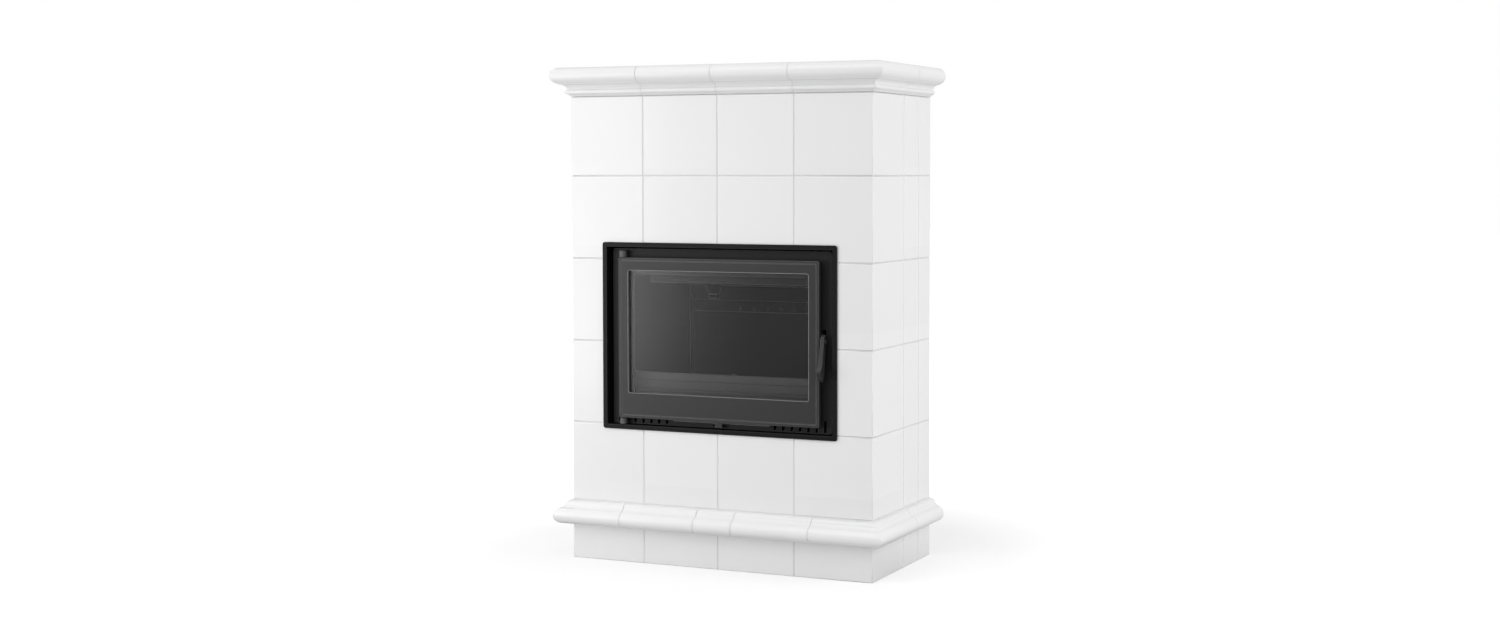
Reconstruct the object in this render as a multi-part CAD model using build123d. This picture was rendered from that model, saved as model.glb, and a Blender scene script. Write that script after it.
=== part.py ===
from build123d import *
import math
import os

os.makedirs("parts", exist_ok=True)

# Tiled stove: a casing of glazed stove tiles round a cast iron fireplace insert.
# All sizes in millimetres. While the pieces are made, y = 0 is the front face of the
# tiles, +y runs to the back, x = 0 is the middle and z = 0 is the floor.

# Tile grid
tile_width = 220.0
tile_height = 222.0
cut_row_height = 212.0
joint_gap = 2.0
front_columns = 4
full_rows = 3
side_half_tile = 109.0
side_rear_tile = 88.0
tile_depth = 40.0
tile_face = 12.0
tile_rim = 12.0
tile_chamfer = 1.5
grout_recess = 1.5
grout_depth = 14.0

# Plinth and base moulding
plinth_height = 94.0
base_moulding_height = 64.0
base_torus_radius = 22.0
base_torus_centre = 20.0
base_cove_top = 17.0
base_round_top = 9.5
base_ledge = 5.0
torus_shoulder = 70.0
base_cove_drop = 12.0
base_cove_sag = 1.0
base_round_drop = 2.5
base_round_bulge = 1.2
base_ledge_drop = 1.5
base_middle_piece = 109.0

# Cornice
cornice_height = 78.0
bullnose_radius = 22.0
bullnose_centre = 22.0
bullnose_chin = -58.0
cove_head = 24.0
cove_head_drop = 46.0
cove_foot = 7.6
cove_sag = 3.0
bead_radius = 6.0
bead_centre = 6.6
bead_quirk = 1.0
cornice_slab = 16.0
cornice_front_reach = 120.0

# Top plate, flue collar and blanking disc
plate_width = 510.0
plate_front = 76.0
plate_thickness = 3.0
plate_corner = 30.0
plate_flange = 12.0
flue_hole_radius = 120.0
flue_centre = 250.0
collar_wall = 2.5
collar_depth = 38.0
collar_lip = 12.0
disc_clearance = 1.0
disc_thickness = 5.0
rib_pitch = 8.0
rib_width = 4.0
rib_height = 3.0

# Trim frame round the insert
frame_half_width = 345.0
frame_bottom = 362.0
frame_top = 868.0
frame_web = 12.0
frame_proud = 4.0
frame_sheet = 2.0
frame_leg = 40.0
frame_corner = 7.0
frame_leg_corner = 1.0
opening_overlap = 8.0
least_corner = 0.5

# Cast front plate of the insert, measured in from the trim frame
plate_side_gap = 10.0
plate_bottom_gap = 2.0
plate_top_gap = 5.0
front_plate_face = 16.0
front_plate_thickness = 8.0
mouth_side_margin = 61.0
mouth_bottom_margin = 79.0
mouth_top_margin = 71.0
bead_side_margin = 26.0
bead_bottom_margin = 20.0
bead_top_margin = 39.0
bead_rail_width = 5.0
bead_rail_height = 1.2
bead_rail_corner = 8.0
slot_count = 7
slot_end_margin = 19.0
slot_pitch = 24.0
slot_width = 8.0
slot_height = 33.0
slot_rise = 19.0
mouth_screw_inset = 37.0
mouth_screw_rise = 19.0
mouth_screw_radius = 4.5

# Firebox body
body_side_reach = 26.0
body_depth = 369.0
body_top_drop = 6.0
body_wall = 8.0
body_floor = 4.0
ledge_width = 12.0
ledge_thickness = 6.0
partition_gap = 4.5
partition_thickness = 4.0
inlet_x = 30.0
inlet_width = 16.0
inlet_depth = 12.0
inlet_setback = 4.0
air_strip_rise = 219.0
air_strip_height = 34.0
air_strip_thickness = 4.0
air_hole_count = 6
air_hole_pitch = 42.0
air_hole_start = -116.5
air_hole_rise = 10.0
air_hole_radius = 3.0

# Hearth
hearth_rise = 50.0
hearth_web = 6.0
hearth_plate_thickness = 8.0
hearth_rim = 12.0
hearth_rim_side = 11.0
hearth_rim_back = 20.0
hearth_rim_front = 34.0
hearth_clearance = 0.5
grate_inset = 12.5
grate_front = 120.0
grate_seat = 8.0
grate_columns = 7
grate_rows = 8
grate_margin = 18.0
grate_row_pitch = 27.0
grate_hole_length = 14.0
grate_hole_width = 10.0
grate_stagger = 3.0
guard_front = 46.0
guard_thickness = 10.0
guard_height = 71.0
guard_groove = 3.0
guard_low_groove = 17.0
guard_middle_groove = 27.0
guard_high_groove = 51.0
guard_end_gap = 2.0
holder_wall = 5.0
holder_gap = 0.5
lug_width = 14.0
lug_reach = 13.0
lug_height = 38.0
side_lug_inset = 40.0

# Smoke baffle and dome
baffle_thickness = 8.0
baffle_clearance = 1.0
baffle_foot_drop = 112.0
baffle_knee_inset = 45.0
baffle_knee_drop = 60.0
baffle_front_y = 110.0
baffle_front_drop = 30.0
hook_inset = 81.0
hook_top_width = 52.0
hook_foot_width = 34.0
hook_drop = 24.0
rest_width = 26.0
rest_height = 12.0
rest_reach = 14.0
dome_neck_radius = 80.0
dome_rise = 115.0
dome_neck_height = 25.0
dome_wall = 5.0
dome_flange = 5.0
dome_inset = 20.0
spigot_wall = 3.0
spigot_height = 100.0

# Door, measured in from the front plate
door_side_margin = 27.5
door_bottom_margin = 18.0
door_top_margin = 24.0
door_thickness = 20.0
door_gap = 2.0
door_skin = 6.0
door_corner = 4.0
door_edge = 1.0
door_hinge_fillet = 8.0
door_groove_inset = 7.0
door_groove = 2.0
door_groove_corner = 3.0
window_side_margin = 29.5
window_bottom_margin = 68.0
window_top_margin = 34.0
window_corner = 6.0
glass_overlap = 8.0
glass_thickness = 4.0
glass_corner = 4.0
gasket_thickness = 1.0
glass_clearance = 1.0
seal_width = 6.0
seal_inset = 0.3
seal_chamfer = 1.5
rib_back = 9.0
rib_corner = 2.0
rail_pocket_depth = 8.0
rail_pocket_margin = 6.0
clip_width = 16.0
clip_thickness = 1.5
clip_foot = 4.5
clip_slant = 1.5
clip_lead = 1.0
clip_edge_gap = 2.0
clip_rail_inset = 96.0
clip_screw_radius = 2.0
clip_screw_stop = 1.0
clip_head_radius = 4.0
clip_head_height = 2.5
half_turn = 180

# Hinge
hinge_inset = 8.5
hinge_pin_radius = 3.0
running_clearance = 0.05
hinge_lug_radius = 9.0
top_lug_gap = 1.0
top_lug_margin = 6.0
bottom_lug_gap = 3.0
top_pin_depth = 19.0
bottom_pin_depth = 20.0
pin_end_gap = 1.0
washer_radius = 8.0
washer_gap = 0.3

# Handle, latch hook and keeper
pivot_rise = 7.5
pivot_pin_radius = 3.0
pivot_head_radius = 7.0
pivot_head_height = 2.5
pivot_collar_radius = 8.0
pivot_anchor = 15.0
lever_gap = 4.0
lever_thickness = 10.5
lever_front = 11.0
lever_back = 9.5
lever_back_start = 3.0
lever_top = 18.0
lever_top_half = 4.0
lever_top_slope = 8.0
lever_foot = 104.0
lever_foot_reach = 21.0
lever_flare = 23.0
lever_neck = 15.0
lever_toe = 6.0
lever_heel = 12.0
lever_heel_inset = 4.0
lever_edge = 1.0
hook_gap = 2.0
hook_thickness = 7.0
hook_wall = 4.7
hook_hub_radius = 7.0
hook_seat_clearance = 0.1
keeper_radius = 3.5
keeper_clearance = 0.3
keeper_depth = 8.0
keeper_drop = 4.0
keeper_tip = 1.0
release_angle = 12.0
recess_width = 12.0
recess_offset = 5.5
recess_drop = 21.0
recess_rise = 30.0
recess_depth = 29.0
recess_wall = 3.0

# Ash drawer and air slider
drawer_side_gap = 17.5
drawer_rise = 12.0
drawer_top_overlap = 2.0
drawer_clearance = 1.0
drawer_recess = 2.0
drawer_panel = 5.0
drawer_length = 315.0
drawer_sheet = 1.5
tray_gap = 2.5
tray_lift = 1.0
tray_top_gap = 1.0
bar_radius = 5.5
bar_inset = 2.0
bar_end_margin = 37.0
bar_pin_radius = 2.5
pocket_margin = 3.5
pocket_depth = 17.0
pocket_roof_gap = 1.5
slider_clearance = 0.3
slider_half = 60.0
slider_thickness = 4.0
slider_depth = 19.0
slider_tab_half = 10.0
slider_travel = 11.0
slider_slot_margin = 1.0
slider_tab_reach = 12.0
slider_tab_lip = 9.0
slider_tab_lip_thickness = 3.0

# Carcass behind the tiles
board_thickness = 25.0
board_top_drop = 7.0
board_back_inset = 6.0
lower_board_gap = 10.0
upper_board_gap = 25.0
slab_clearance = 1.0
stand_side_inset = 38.0
stand_leg_front = 70.0
stand_back_inset = 23.0
stand_angle = 30.0
stand_sheet = 3.0
rear_sheet = 2.0
rear_screw_radius = 2.0
rear_screw_head = 5.0
rear_screw_head_height = 2.5
rear_screw_length = 17.0
rear_screw_rows = 3
rear_screw_inset = 60.0
rear_panel_clearance = 1.0

# Worked out from the sizes above
pitch_x = tile_width + joint_gap
pitch_z = tile_height + joint_gap
half_width = (front_columns * pitch_x - joint_gap) / 2
corner_leg = tile_width
half_tile_start = corner_leg + joint_gap
rear_tile_start = half_tile_start + side_half_tile + joint_gap
casing_depth = rear_tile_start + side_rear_tile
corner_x = half_width - tile_width
moulding_bottom = plinth_height + joint_gap
moulding_top = moulding_bottom + base_moulding_height
first_row = moulding_top + joint_gap
first_full_row = first_row + cut_row_height + joint_gap
top_row = first_full_row + full_rows * pitch_z
cornice_bottom = top_row + cut_row_height + joint_gap
cornice_top = cornice_bottom + cornice_height
cornice_reach = bullnose_centre + bullnose_radius
base_reach = base_torus_centre + base_torus_radius
plate_top = cornice_top + plate_thickness
collar_bottom = cornice_top - collar_depth
disc_bottom = collar_bottom + plate_thickness
inner_x = half_width - tile_depth
opening_half = frame_half_width - opening_overlap
opening_bottom = frame_bottom + opening_overlap
opening_top = frame_top - opening_overlap
board_top = cornice_bottom - board_top_drop
board_back = casing_depth - board_back_inset
front_plate_half = frame_half_width - frame_web - plate_side_gap
front_plate_bottom = frame_bottom + frame_web + plate_bottom_gap
front_plate_top = frame_top - frame_web - plate_top_gap
front_plate_back = front_plate_face + front_plate_thickness
mouth_half = front_plate_half - mouth_side_margin
mouth_bottom = front_plate_bottom + mouth_bottom_margin
mouth_top = front_plate_top - mouth_top_margin
bead_rail_half = mouth_half + bead_side_margin
bead_rail_bottom = mouth_bottom - bead_bottom_margin
bead_rail_top = mouth_top + bead_top_margin
slot_first = front_plate_half - slot_end_margin - (slot_count - 1) * slot_pitch
slot_centre = front_plate_bottom + slot_rise
mouth_screw_x = mouth_half - mouth_screw_inset
mouth_screw_z = mouth_top + mouth_screw_rise
body_half = mouth_half + body_side_reach
body_back = front_plate_back + body_depth
body_top = front_plate_top - body_top_drop
body_inner = body_half - body_wall
body_inner_back = body_back - body_wall
body_bottom = front_plate_bottom
chamber_floor = body_bottom + body_floor
hearth_bottom = body_bottom + hearth_rise
hearth_top = hearth_bottom + hearth_web + hearth_plate_thickness
guard_bottom = hearth_bottom + hearth_web + hearth_rim
side_lug_y = body_inner_back - side_lug_inset
back_lug_x = body_inner / 2
air_strip_bottom = hearth_top + air_strip_rise
air_strip_top = air_strip_bottom + air_strip_height
air_hole_height = air_strip_bottom + air_hole_rise
baffle_foot = body_top - baffle_foot_drop
baffle_knee_y = body_inner_back - baffle_knee_inset
baffle_knee_z = body_top - baffle_knee_drop
baffle_front_z = body_top - baffle_front_drop
hook_x = body_inner - hook_inset
dome_neck_bottom = body_top + dome_rise
spigot_radius = dome_neck_radius - dome_wall
spigot_top = dome_neck_bottom + spigot_height
door_half = front_plate_half - door_side_margin
door_bottom = front_plate_bottom + door_bottom_margin
door_top = front_plate_top - door_top_margin
window_half = door_half - window_side_margin
window_bottom = door_bottom + window_bottom_margin
window_top = door_top - window_top_margin
door_back = front_plate_face - door_gap
door_front = door_back - door_thickness
hinge_y = door_front + door_thickness / 2
skin_back = door_front + door_skin
glass_front = skin_back + gasket_thickness
glass_back = glass_front + glass_thickness
glass_half = window_half + glass_overlap
glass_bottom = window_bottom - glass_overlap
glass_top = window_top + glass_overlap
clip_side_z = (window_bottom + window_top) / 2
clip_rail_x = window_half - clip_rail_inset
seal_front = door_back - seal_width + seal_inset
hinge_x = hinge_inset - door_half
top_lug_bottom = door_top + top_lug_gap
top_lug_top = front_plate_top - top_lug_margin
bottom_lug_top = door_bottom - bottom_lug_gap
pivot_z = (door_bottom + door_top) / 2 + pivot_rise
lever_x = door_half + lever_gap
hook_start = door_half + hook_gap
recess_centre = door_half + recess_offset
recess_bottom = pivot_z - recess_drop
recess_top = pivot_z + recess_rise
drawer_half = slot_first - drawer_side_gap
drawer_bottom = front_plate_bottom + drawer_rise
drawer_top = hearth_bottom + drawer_top_overlap
drawer_face = front_plate_face + drawer_recess
drawer_back = drawer_face + drawer_panel
tray_bottom = drawer_bottom + tray_lift
tray_top = hearth_bottom - ledge_thickness - tray_top_gap
partition_x = drawer_half + partition_gap
grate_half = drawer_half - grate_inset
grate_column_pitch = 2 * (grate_half - grate_margin) / grate_columns
bar_half = drawer_half - bar_end_margin
bar_height = hearth_bottom - pocket_roof_gap - drawer_sheet - pocket_margin - bar_radius
stand_leg_x = body_half - stand_side_inset
stand_leg_back = body_back - stand_back_inset
slider_bottom = chamber_floor + slider_clearance
slider_slot_half = slider_tab_half + slider_travel + slider_slot_margin
keeper_y = front_plate_face + keeper_depth
keeper_z = pivot_z - keeper_drop
depth_centre = (casing_depth + plate_thickness - cornice_reach) / 2

# The local frames that the mouldings' outlines are drawn in: across is outward, up is up
front_plane = Plane(origin=(0, 0, 0), x_dir=(0, -1, 0), z_dir=(-1, 0, 0))
side_plane = Plane(origin=(half_width, 0, 0), x_dir=(1, 0, 0), z_dir=(0, -1, 0))


def sided(side, near, far):
    """A range on the right of the stove, or its mirror on the left."""
    return tuple(sorted((side * near, side * far)))


def around(middle, width):
    """The range of one width about its middle."""
    return (middle - width / 2, middle + width / 2)


def block(x_range, y_range, z_range):
    """A box given by its limits on each axis."""
    ranges = (x_range, y_range, z_range)
    sizes = [high - low for low, high in ranges]
    middles = [(high + low) / 2 for low, high in ranges]
    return Pos(*middles) * Box(*sizes)


def cylinder_y(radius, x, z, y_range):
    """A round bar along y."""
    low, high = y_range
    return Pos(x, (low + high) / 2, z) * Rot(90, 0, 0) * Cylinder(radius, high - low)


def cylinder_z(radius, x, y, z_range):
    """A round bar along z."""
    low, high = z_range
    return Pos(x, y, (low + high) / 2) * Cylinder(radius, high - low)


def cylinder_x(radius, y, z, x_range):
    """A round bar along x."""
    low, high = x_range
    return Pos((low + high) / 2, y, z) * Rot(0, 90, 0) * Cylinder(radius, high - low)


def plate_xz(width_half, z_range, y_range, corner):
    """An upright plate in the x-z plane with rounded corners, centred on x = 0."""
    low, high = z_range
    sketch = RectangleRounded(2 * width_half, high - low, corner)
    plane = Plane(origin=(0, y_range[1], (low + high) / 2), x_dir=(1, 0, 0), z_dir=(0, -1, 0))
    return extrude(plane * sketch, amount=y_range[1] - y_range[0])


def ring_xz(half, z_range, width, y_range, corner):
    """A rectangular ring of one width whose outer edge has the given limits."""
    outer = plate_xz(half, z_range, y_range, corner)
    inner_range = (z_range[0] + width, z_range[1] - width)
    inner = plate_xz(half - width, inner_range, y_range, max(corner - width, least_corner))
    return outer - inner


def mirrored(shape):
    """The same piece on the other side of the stove."""
    return mirror(shape, about=Plane.YZ)


def save(name, *shapes):
    """Writes one node, moved so that the origin is under the middle of the stove."""
    solids = [solid for shape in shapes for solid in shape.solids()]
    placed = [Pos(0, -depth_centre, 0) * solid for solid in solids]
    export_step(Compound(children=placed), f"parts/{name}.step")


# Stove tiles


def front_tile(x_range, z_range):
    """A flat stove tile: a pressed face with a deep rim behind it."""
    (x0, x1), (z0, z1) = x_range, z_range
    body = block(x_range, (0, tile_depth), z_range)
    body = chamfer(body.faces().sort_by(Axis.Y)[0].edges(), tile_chamfer)
    hollow_x = (x0 + tile_rim, x1 - tile_rim)
    hollow_z = (z0 + tile_rim, z1 - tile_rim)
    return body - block(hollow_x, (tile_face, tile_depth), hollow_z)


def side_tile(y_range, z_range):
    """The same tile in the right side wall."""
    (y0, y1), (z0, z1) = y_range, z_range
    body = block((inner_x, half_width), y_range, z_range)
    body = chamfer(body.faces().sort_by(Axis.X)[-1].edges(), tile_chamfer)
    hollow_y = (y0 + tile_rim, y1 - tile_rim)
    hollow_z = (z0 + tile_rim, z1 - tile_rim)
    return body - block((inner_x, half_width - tile_face), hollow_y, hollow_z)


def corner_tile(z_range):
    """An L-shaped tile with one leg in the front wall and one in the right side wall."""
    z0, z1 = z_range
    body = block((corner_x, half_width), (0, corner_leg), z_range)
    faces = (body.faces().sort_by(Axis.Y)[0], body.faces().sort_by(Axis.X)[-1])
    edges = {edge for face in faces for edge in face.edges()}
    body = chamfer(list(edges), tile_chamfer)
    body -= block((corner_x, inner_x), (tile_depth, corner_leg), z_range)
    hollow_x = (corner_x + tile_rim, half_width - tile_face)
    hollow_y = (tile_face, corner_leg - tile_rim)
    return body - block(hollow_x, hollow_y, (z0 + tile_rim, z1 - tile_rim))


def row_ranges():
    """The z limits of the tile rows above the base moulding, from the bottom up."""
    rows = [(first_row, first_row + cut_row_height)]
    for index in range(full_rows):
        bottom = first_full_row + index * pitch_z
        rows.append((bottom, bottom + tile_height))
    rows.append((top_row, top_row + cut_row_height))
    return rows


def middle_columns():
    """The x limits of the tiles between the two corner tiles."""
    starts = [-half_width + index * pitch_x for index in range(1, front_columns - 1)]
    return [(start, start + tile_width) for start in starts]


def opening_block():
    """The opening that the insert stands in, cut through the tiles of the front."""
    return block((-opening_half, opening_half), (-tile_depth, tile_depth), (opening_bottom, opening_top))


def outside_opening(z_range):
    """Whether a row of middle tiles is left above or below the opening."""
    return z_range[0] < opening_bottom or z_range[1] > opening_top


half_tile_range = (half_tile_start, half_tile_start + side_half_tile)
rear_tile_range = (rear_tile_start, casing_depth)
plinth_range = (0, plinth_height)


def build_tiles():
    opening = opening_block()
    corners = [corner_tile(z_range) - opening for z_range in row_ranges()]
    save("corner_tiles_right", *corners)
    save("corner_tiles_left", *[mirrored(tile) for tile in corners])

    below, above = [], []
    for z_range in row_ranges():
        if outside_opening(z_range):
            group = below if z_range[0] < opening_bottom else above
            group += [front_tile(x_range, z_range) - opening for x_range in middle_columns()]
    save("front_tiles_lower", *below)
    save("front_tiles_upper", *above)

    halves = [side_tile(half_tile_range, z_range) for z_range in row_ranges()]
    rears = [side_tile(rear_tile_range, z_range) for z_range in row_ranges()]
    save("side_tiles_right", *halves)
    save("side_tiles_left", *[mirrored(tile) for tile in halves])
    save("rear_tiles_right", *rears)
    save("rear_tiles_left", *[mirrored(tile) for tile in rears])

    plinth_corner = corner_tile(plinth_range)
    save("plinth_corner_tiles", plinth_corner, mirrored(plinth_corner))
    save("plinth_front_tiles", *[front_tile(x_range, plinth_range) for x_range in middle_columns()])
    plinth_sides = [side_tile(y_range, plinth_range) for y_range in (half_tile_range, rear_tile_range)]
    save("plinth_side_tiles", *plinth_sides, *[mirrored(tile) for tile in plinth_sides])


# Mouldings


def outline_face(*edges):
    """A closed outline, as the face that its edges bound."""
    return make_face(Curve() + list(edges))


def between(first, second, shift_x, shift_y):
    """The point halfway between two others, moved sideways: the middle of a shallow curve."""
    return ((first[0] + second[0]) / 2 + shift_x, (first[1] + second[1]) / 2 + shift_y)


def base_outline(inset, depth):
    """Section of the base moulding: torus, fillet, cove and a small round at the top."""
    bottom = moulding_bottom + inset
    top = moulding_top - inset
    centre = (base_torus_centre, moulding_bottom + base_torus_radius)
    radius = base_torus_radius - inset
    torus_foot = (centre[0], bottom)
    shoulder_angle = math.radians(torus_shoulder)
    tip = (centre[0] + radius, centre[1])
    shoulder = (centre[0] + radius * math.cos(shoulder_angle),
                centre[1] + radius * math.sin(shoulder_angle))
    cove_top = (base_cove_top - inset, moulding_top - base_cove_drop - inset)
    cove_middle = between(shoulder, cove_top, -base_cove_sag, -base_cove_sag)
    round_top = (base_round_top - inset, moulding_top - base_round_drop - inset)
    round_middle = between(cove_top, round_top, base_round_bulge, base_round_bulge)
    ledge = (base_ledge - inset, moulding_top - base_ledge_drop - inset)
    return outline_face(
        Line((-depth, bottom), torus_foot),
        ThreePointArc(torus_foot, tip, shoulder),
        ThreePointArc(shoulder, cove_middle, cove_top),
        ThreePointArc(cove_top, round_middle, round_top),
        Line(round_top, ledge),
        Line(ledge, (-inset, top)),
        Line((-inset, top), (-depth, top)),
        Line((-depth, top), (-depth, bottom)),
    )


def cornice_outline(inset, depth, top_inset):
    """Section of the cornice: bullnose, cove and a small bead under the cove."""
    top = cornice_top - top_inset
    radius = bullnose_radius - inset
    centre = (bullnose_centre, cornice_top - bullnose_radius)
    crown = (centre[0], centre[1] + radius)
    tip = (centre[0] + radius, centre[1])
    exit_angle = math.radians(bullnose_chin)
    chin = (centre[0] + radius * math.cos(exit_angle), centre[1] + radius * math.sin(exit_angle))
    step = (cove_head - inset, cornice_top - cove_head_drop + inset)
    bead_z = cornice_bottom + bead_radius * 2
    cove_end = (cove_foot - inset, bead_z + bead_radius + bead_quirk)
    cove_middle = between(step, cove_end, -cove_sag, cove_sag)
    bead_start = (bead_centre - inset, bead_z + bead_radius)
    bead_nose = (bead_centre + bead_radius - inset, bead_z)
    bead_end = (bead_centre - inset, bead_z - bead_radius)
    foot = (-inset, cornice_bottom + inset)
    return outline_face(
        Line((-depth, foot[1]), foot),
        Line(foot, bead_end),
        ThreePointArc(bead_end, bead_nose, bead_start),
        Line(bead_start, cove_end),
        ThreePointArc(cove_end, cove_middle, step),
        Line(step, chin),
        ThreePointArc(chin, tip, crown),
        Line(crown, (-depth, crown[1])),
        Line((-depth, crown[1]), (-depth, foot[1])),
    ) & block_section(depth, foot[1], top)


def block_section(depth, low, high):
    """A wide rectangle that trims an outline to a height."""
    reach = 2 * cornice_reach
    return Pos((reach - depth) / 2, (low + high) / 2) * Rectangle(reach + depth, high - low)


def front_run(outline):
    """A moulding's outline drawn along the whole front."""
    return extrude(front_plane * outline, amount=half_width + 2 * cornice_reach, both=True)


def side_run(outline):
    """A moulding's outline drawn along the whole right side."""
    return extrude(side_plane * outline, amount=casing_depth, both=True)


def run_piece(solids, x_range, y_range, z_range):
    """The stretch of one or two crossing runs that lies inside the given limits."""
    piece = block(x_range, y_range, z_range)
    for solid in solids:
        piece = piece & solid
    return piece


def moulding_set(outer, hollow, cavity, z_range, splits):
    """Cuts runs into pieces at the joints and hollows each one behind its face."""
    pieces = []
    for runs, x_range, y_range, end_rims in splits:
        solids = [run(outer) for run in runs]
        hollows = [run(hollow) for run in runs]
        inner_x_range = (x_range[0] + end_rims[0], x_range[1] - end_rims[1])
        inner_y_range = (y_range[0] + end_rims[2], y_range[1] - end_rims[3])
        piece = run_piece(solids, x_range, y_range, z_range)
        piece -= run_piece(hollows, inner_x_range, inner_y_range, z_range)
        pieces.append(piece - cavity)
    return pieces


def build_base_moulding():
    z_range = (moulding_bottom, moulding_top)
    outer = base_outline(0, half_width)
    hollow = base_outline(tile_face, half_width)
    cavity = block((-inner_x, inner_x), (tile_depth, casing_depth), z_range)
    far = half_width + 2 * base_reach
    near = -2 * base_reach
    half_middle = base_middle_piece / 2
    end_start = corner_x + half_middle + joint_gap / 2
    splits = [
        ((front_run, side_run), (end_start, far), (near, corner_leg), (tile_rim, 0, 0, tile_rim)),
        ((front_run,), (half_middle + joint_gap, end_start - joint_gap), (near, tile_depth),
         (tile_rim, tile_rim, 0, 0)),
        ((front_run,), (-half_middle, half_middle), (near, tile_depth), (tile_rim, tile_rim, 0, 0)),
        ((side_run,), (inner_x, far), (half_tile_start, casing_depth), (0, 0, tile_rim, tile_rim)),
    ]
    corner, front_end, front_middle, side = moulding_set(outer, hollow, cavity, z_range, splits)
    save("base_moulding_corner_right", corner)
    save("base_moulding_corner_left", mirrored(corner))
    save("base_moulding_front", mirrored(front_end), front_middle, front_end)
    save("base_moulding_side_right", side)
    save("base_moulding_side_left", mirrored(side))


def build_cornice():
    z_range = (cornice_bottom, cornice_top)
    outer = cornice_outline(0, half_width, 0)
    hollow = cornice_outline(tile_face, half_width, cornice_slab)
    cavity_top = cornice_top - cornice_slab
    cavity = block((-inner_x, inner_x), (tile_depth, casing_depth), (cornice_bottom, cavity_top))
    far = half_width + 2 * cornice_reach
    near = -2 * cornice_reach
    splits = [
        ((front_run, side_run), (corner_x, far), (near, corner_leg), (tile_rim, 0, 0, tile_rim)),
        ((front_run,), (joint_gap / 2, corner_x - joint_gap), (near, cornice_front_reach),
         (tile_rim, tile_rim, 0, 0)),
        ((side_run,), (corner_x, far), (half_tile_start, casing_depth), (0, 0, tile_rim, tile_rim)),
    ]
    corner, front, side = moulding_set(outer, hollow, cavity, z_range, splits)
    save("cornice_corner_right", corner)
    save("cornice_corner_left", mirrored(corner))
    save("cornice_front_right", front)
    save("cornice_front_left", mirrored(front))
    save("cornice_side_right", side)
    save("cornice_side_left", mirrored(side))


def moulding_joints(half_middle, end_start):
    """The grout between the pieces of both mouldings, drawn back a little from their faces."""
    base = base_outline(grout_recess, half_width)
    cornice = cornice_outline(grout_recess, half_width, grout_recess)
    base_z = (moulding_bottom - joint_gap, moulding_top)
    cornice_z = (cornice_bottom - joint_gap, cornice_top)
    slab_z = (cornice_top - cornice_slab, cornice_top)
    front_y = (-2 * cornice_reach, grout_depth)
    slab_y = (-2 * cornice_reach, cornice_front_reach)
    side_y = (corner_leg, half_tile_start)
    side_x = (half_width - grout_depth, half_width + 2 * cornice_reach)
    slab_x = (corner_x, half_width + 2 * cornice_reach)
    foot_y = (grout_recess, grout_depth)
    foot_x = (half_width - grout_depth, half_width - grout_recess)
    foot_z = (cornice_bottom - joint_gap, cornice_bottom + 2 * grout_recess)
    base_joints = [(half_middle, half_middle + joint_gap), (end_start - joint_gap, end_start)]
    cornice_joint = (corner_x - joint_gap, corner_x)
    fills = [front_run(base) & block(x_range, front_y, base_z) for x_range in base_joints]
    fills.append(side_run(base) & block(side_x, side_y, base_z))
    fills.append(front_run(cornice) & block(cornice_joint, front_y, cornice_z))
    fills.append(front_run(cornice) & block(cornice_joint, slab_y, slab_z))
    fills.append(block(cornice_joint, foot_y, foot_z))
    fills.append(side_run(cornice) & block(side_x, side_y, cornice_z))
    fills.append(side_run(cornice) & block(slab_x, side_y, slab_z))
    fills.append(block(foot_x, side_y, foot_z))
    fills += [mirrored(fill) for fill in fills]
    middle_joint = (-joint_gap / 2, joint_gap / 2)
    fills.append(front_run(cornice) & block(middle_joint, front_y, cornice_z))
    fills.append(front_run(cornice) & block(middle_joint, slab_y, slab_z))
    fills.append(block(middle_joint, foot_y, foot_z))
    return fills


def build_grout():
    """One lattice of grout that fills the joints between the tiles."""
    rows = [plinth_range, (moulding_bottom, moulding_top)] + row_ranges()
    grout_x = half_width - grout_recess
    grout_top = cornice_bottom - grout_recess / 2
    grout_y = (grout_recess, casing_depth - grout_recess)
    lattice = block((-grout_x, grout_x), grout_y, (grout_recess, grout_top))
    inner = half_width - grout_depth
    cells = [block((-inner, inner), (grout_depth, casing_depth), (0, cornice_bottom)), opening_block()]
    half_middle = base_middle_piece / 2
    end_start = corner_x + half_middle + joint_gap / 2
    for row in rows:
        columns = [(corner_x, half_width)] + [cell for cell in middle_columns() if cell[0] > 0]
        side_cells = [(0, corner_leg), half_tile_range, rear_tile_range]
        if row[0] == moulding_bottom:
            columns = [(end_start, half_width), (half_middle + joint_gap, end_start - joint_gap)]
            cells.append(block((-half_middle, half_middle), (0, tile_depth), row))
            side_cells = [(0, corner_leg), (half_tile_start, casing_depth)]
        for low, high in columns:
            cells.append(block((low, high), (0, tile_depth), row))
            cells.append(block((-high, -low), (0, tile_depth), row))
        for y_range in side_cells:
            cells.append(block((inner_x, half_width), y_range, row))
            cells.append(block((-half_width, -inner_x), y_range, row))
    lattice -= cells
    for fill in moulding_joints(half_middle, end_start):
        lattice += fill
    save("joint_grout", lattice)


# Top plate with its collar and disc


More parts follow.
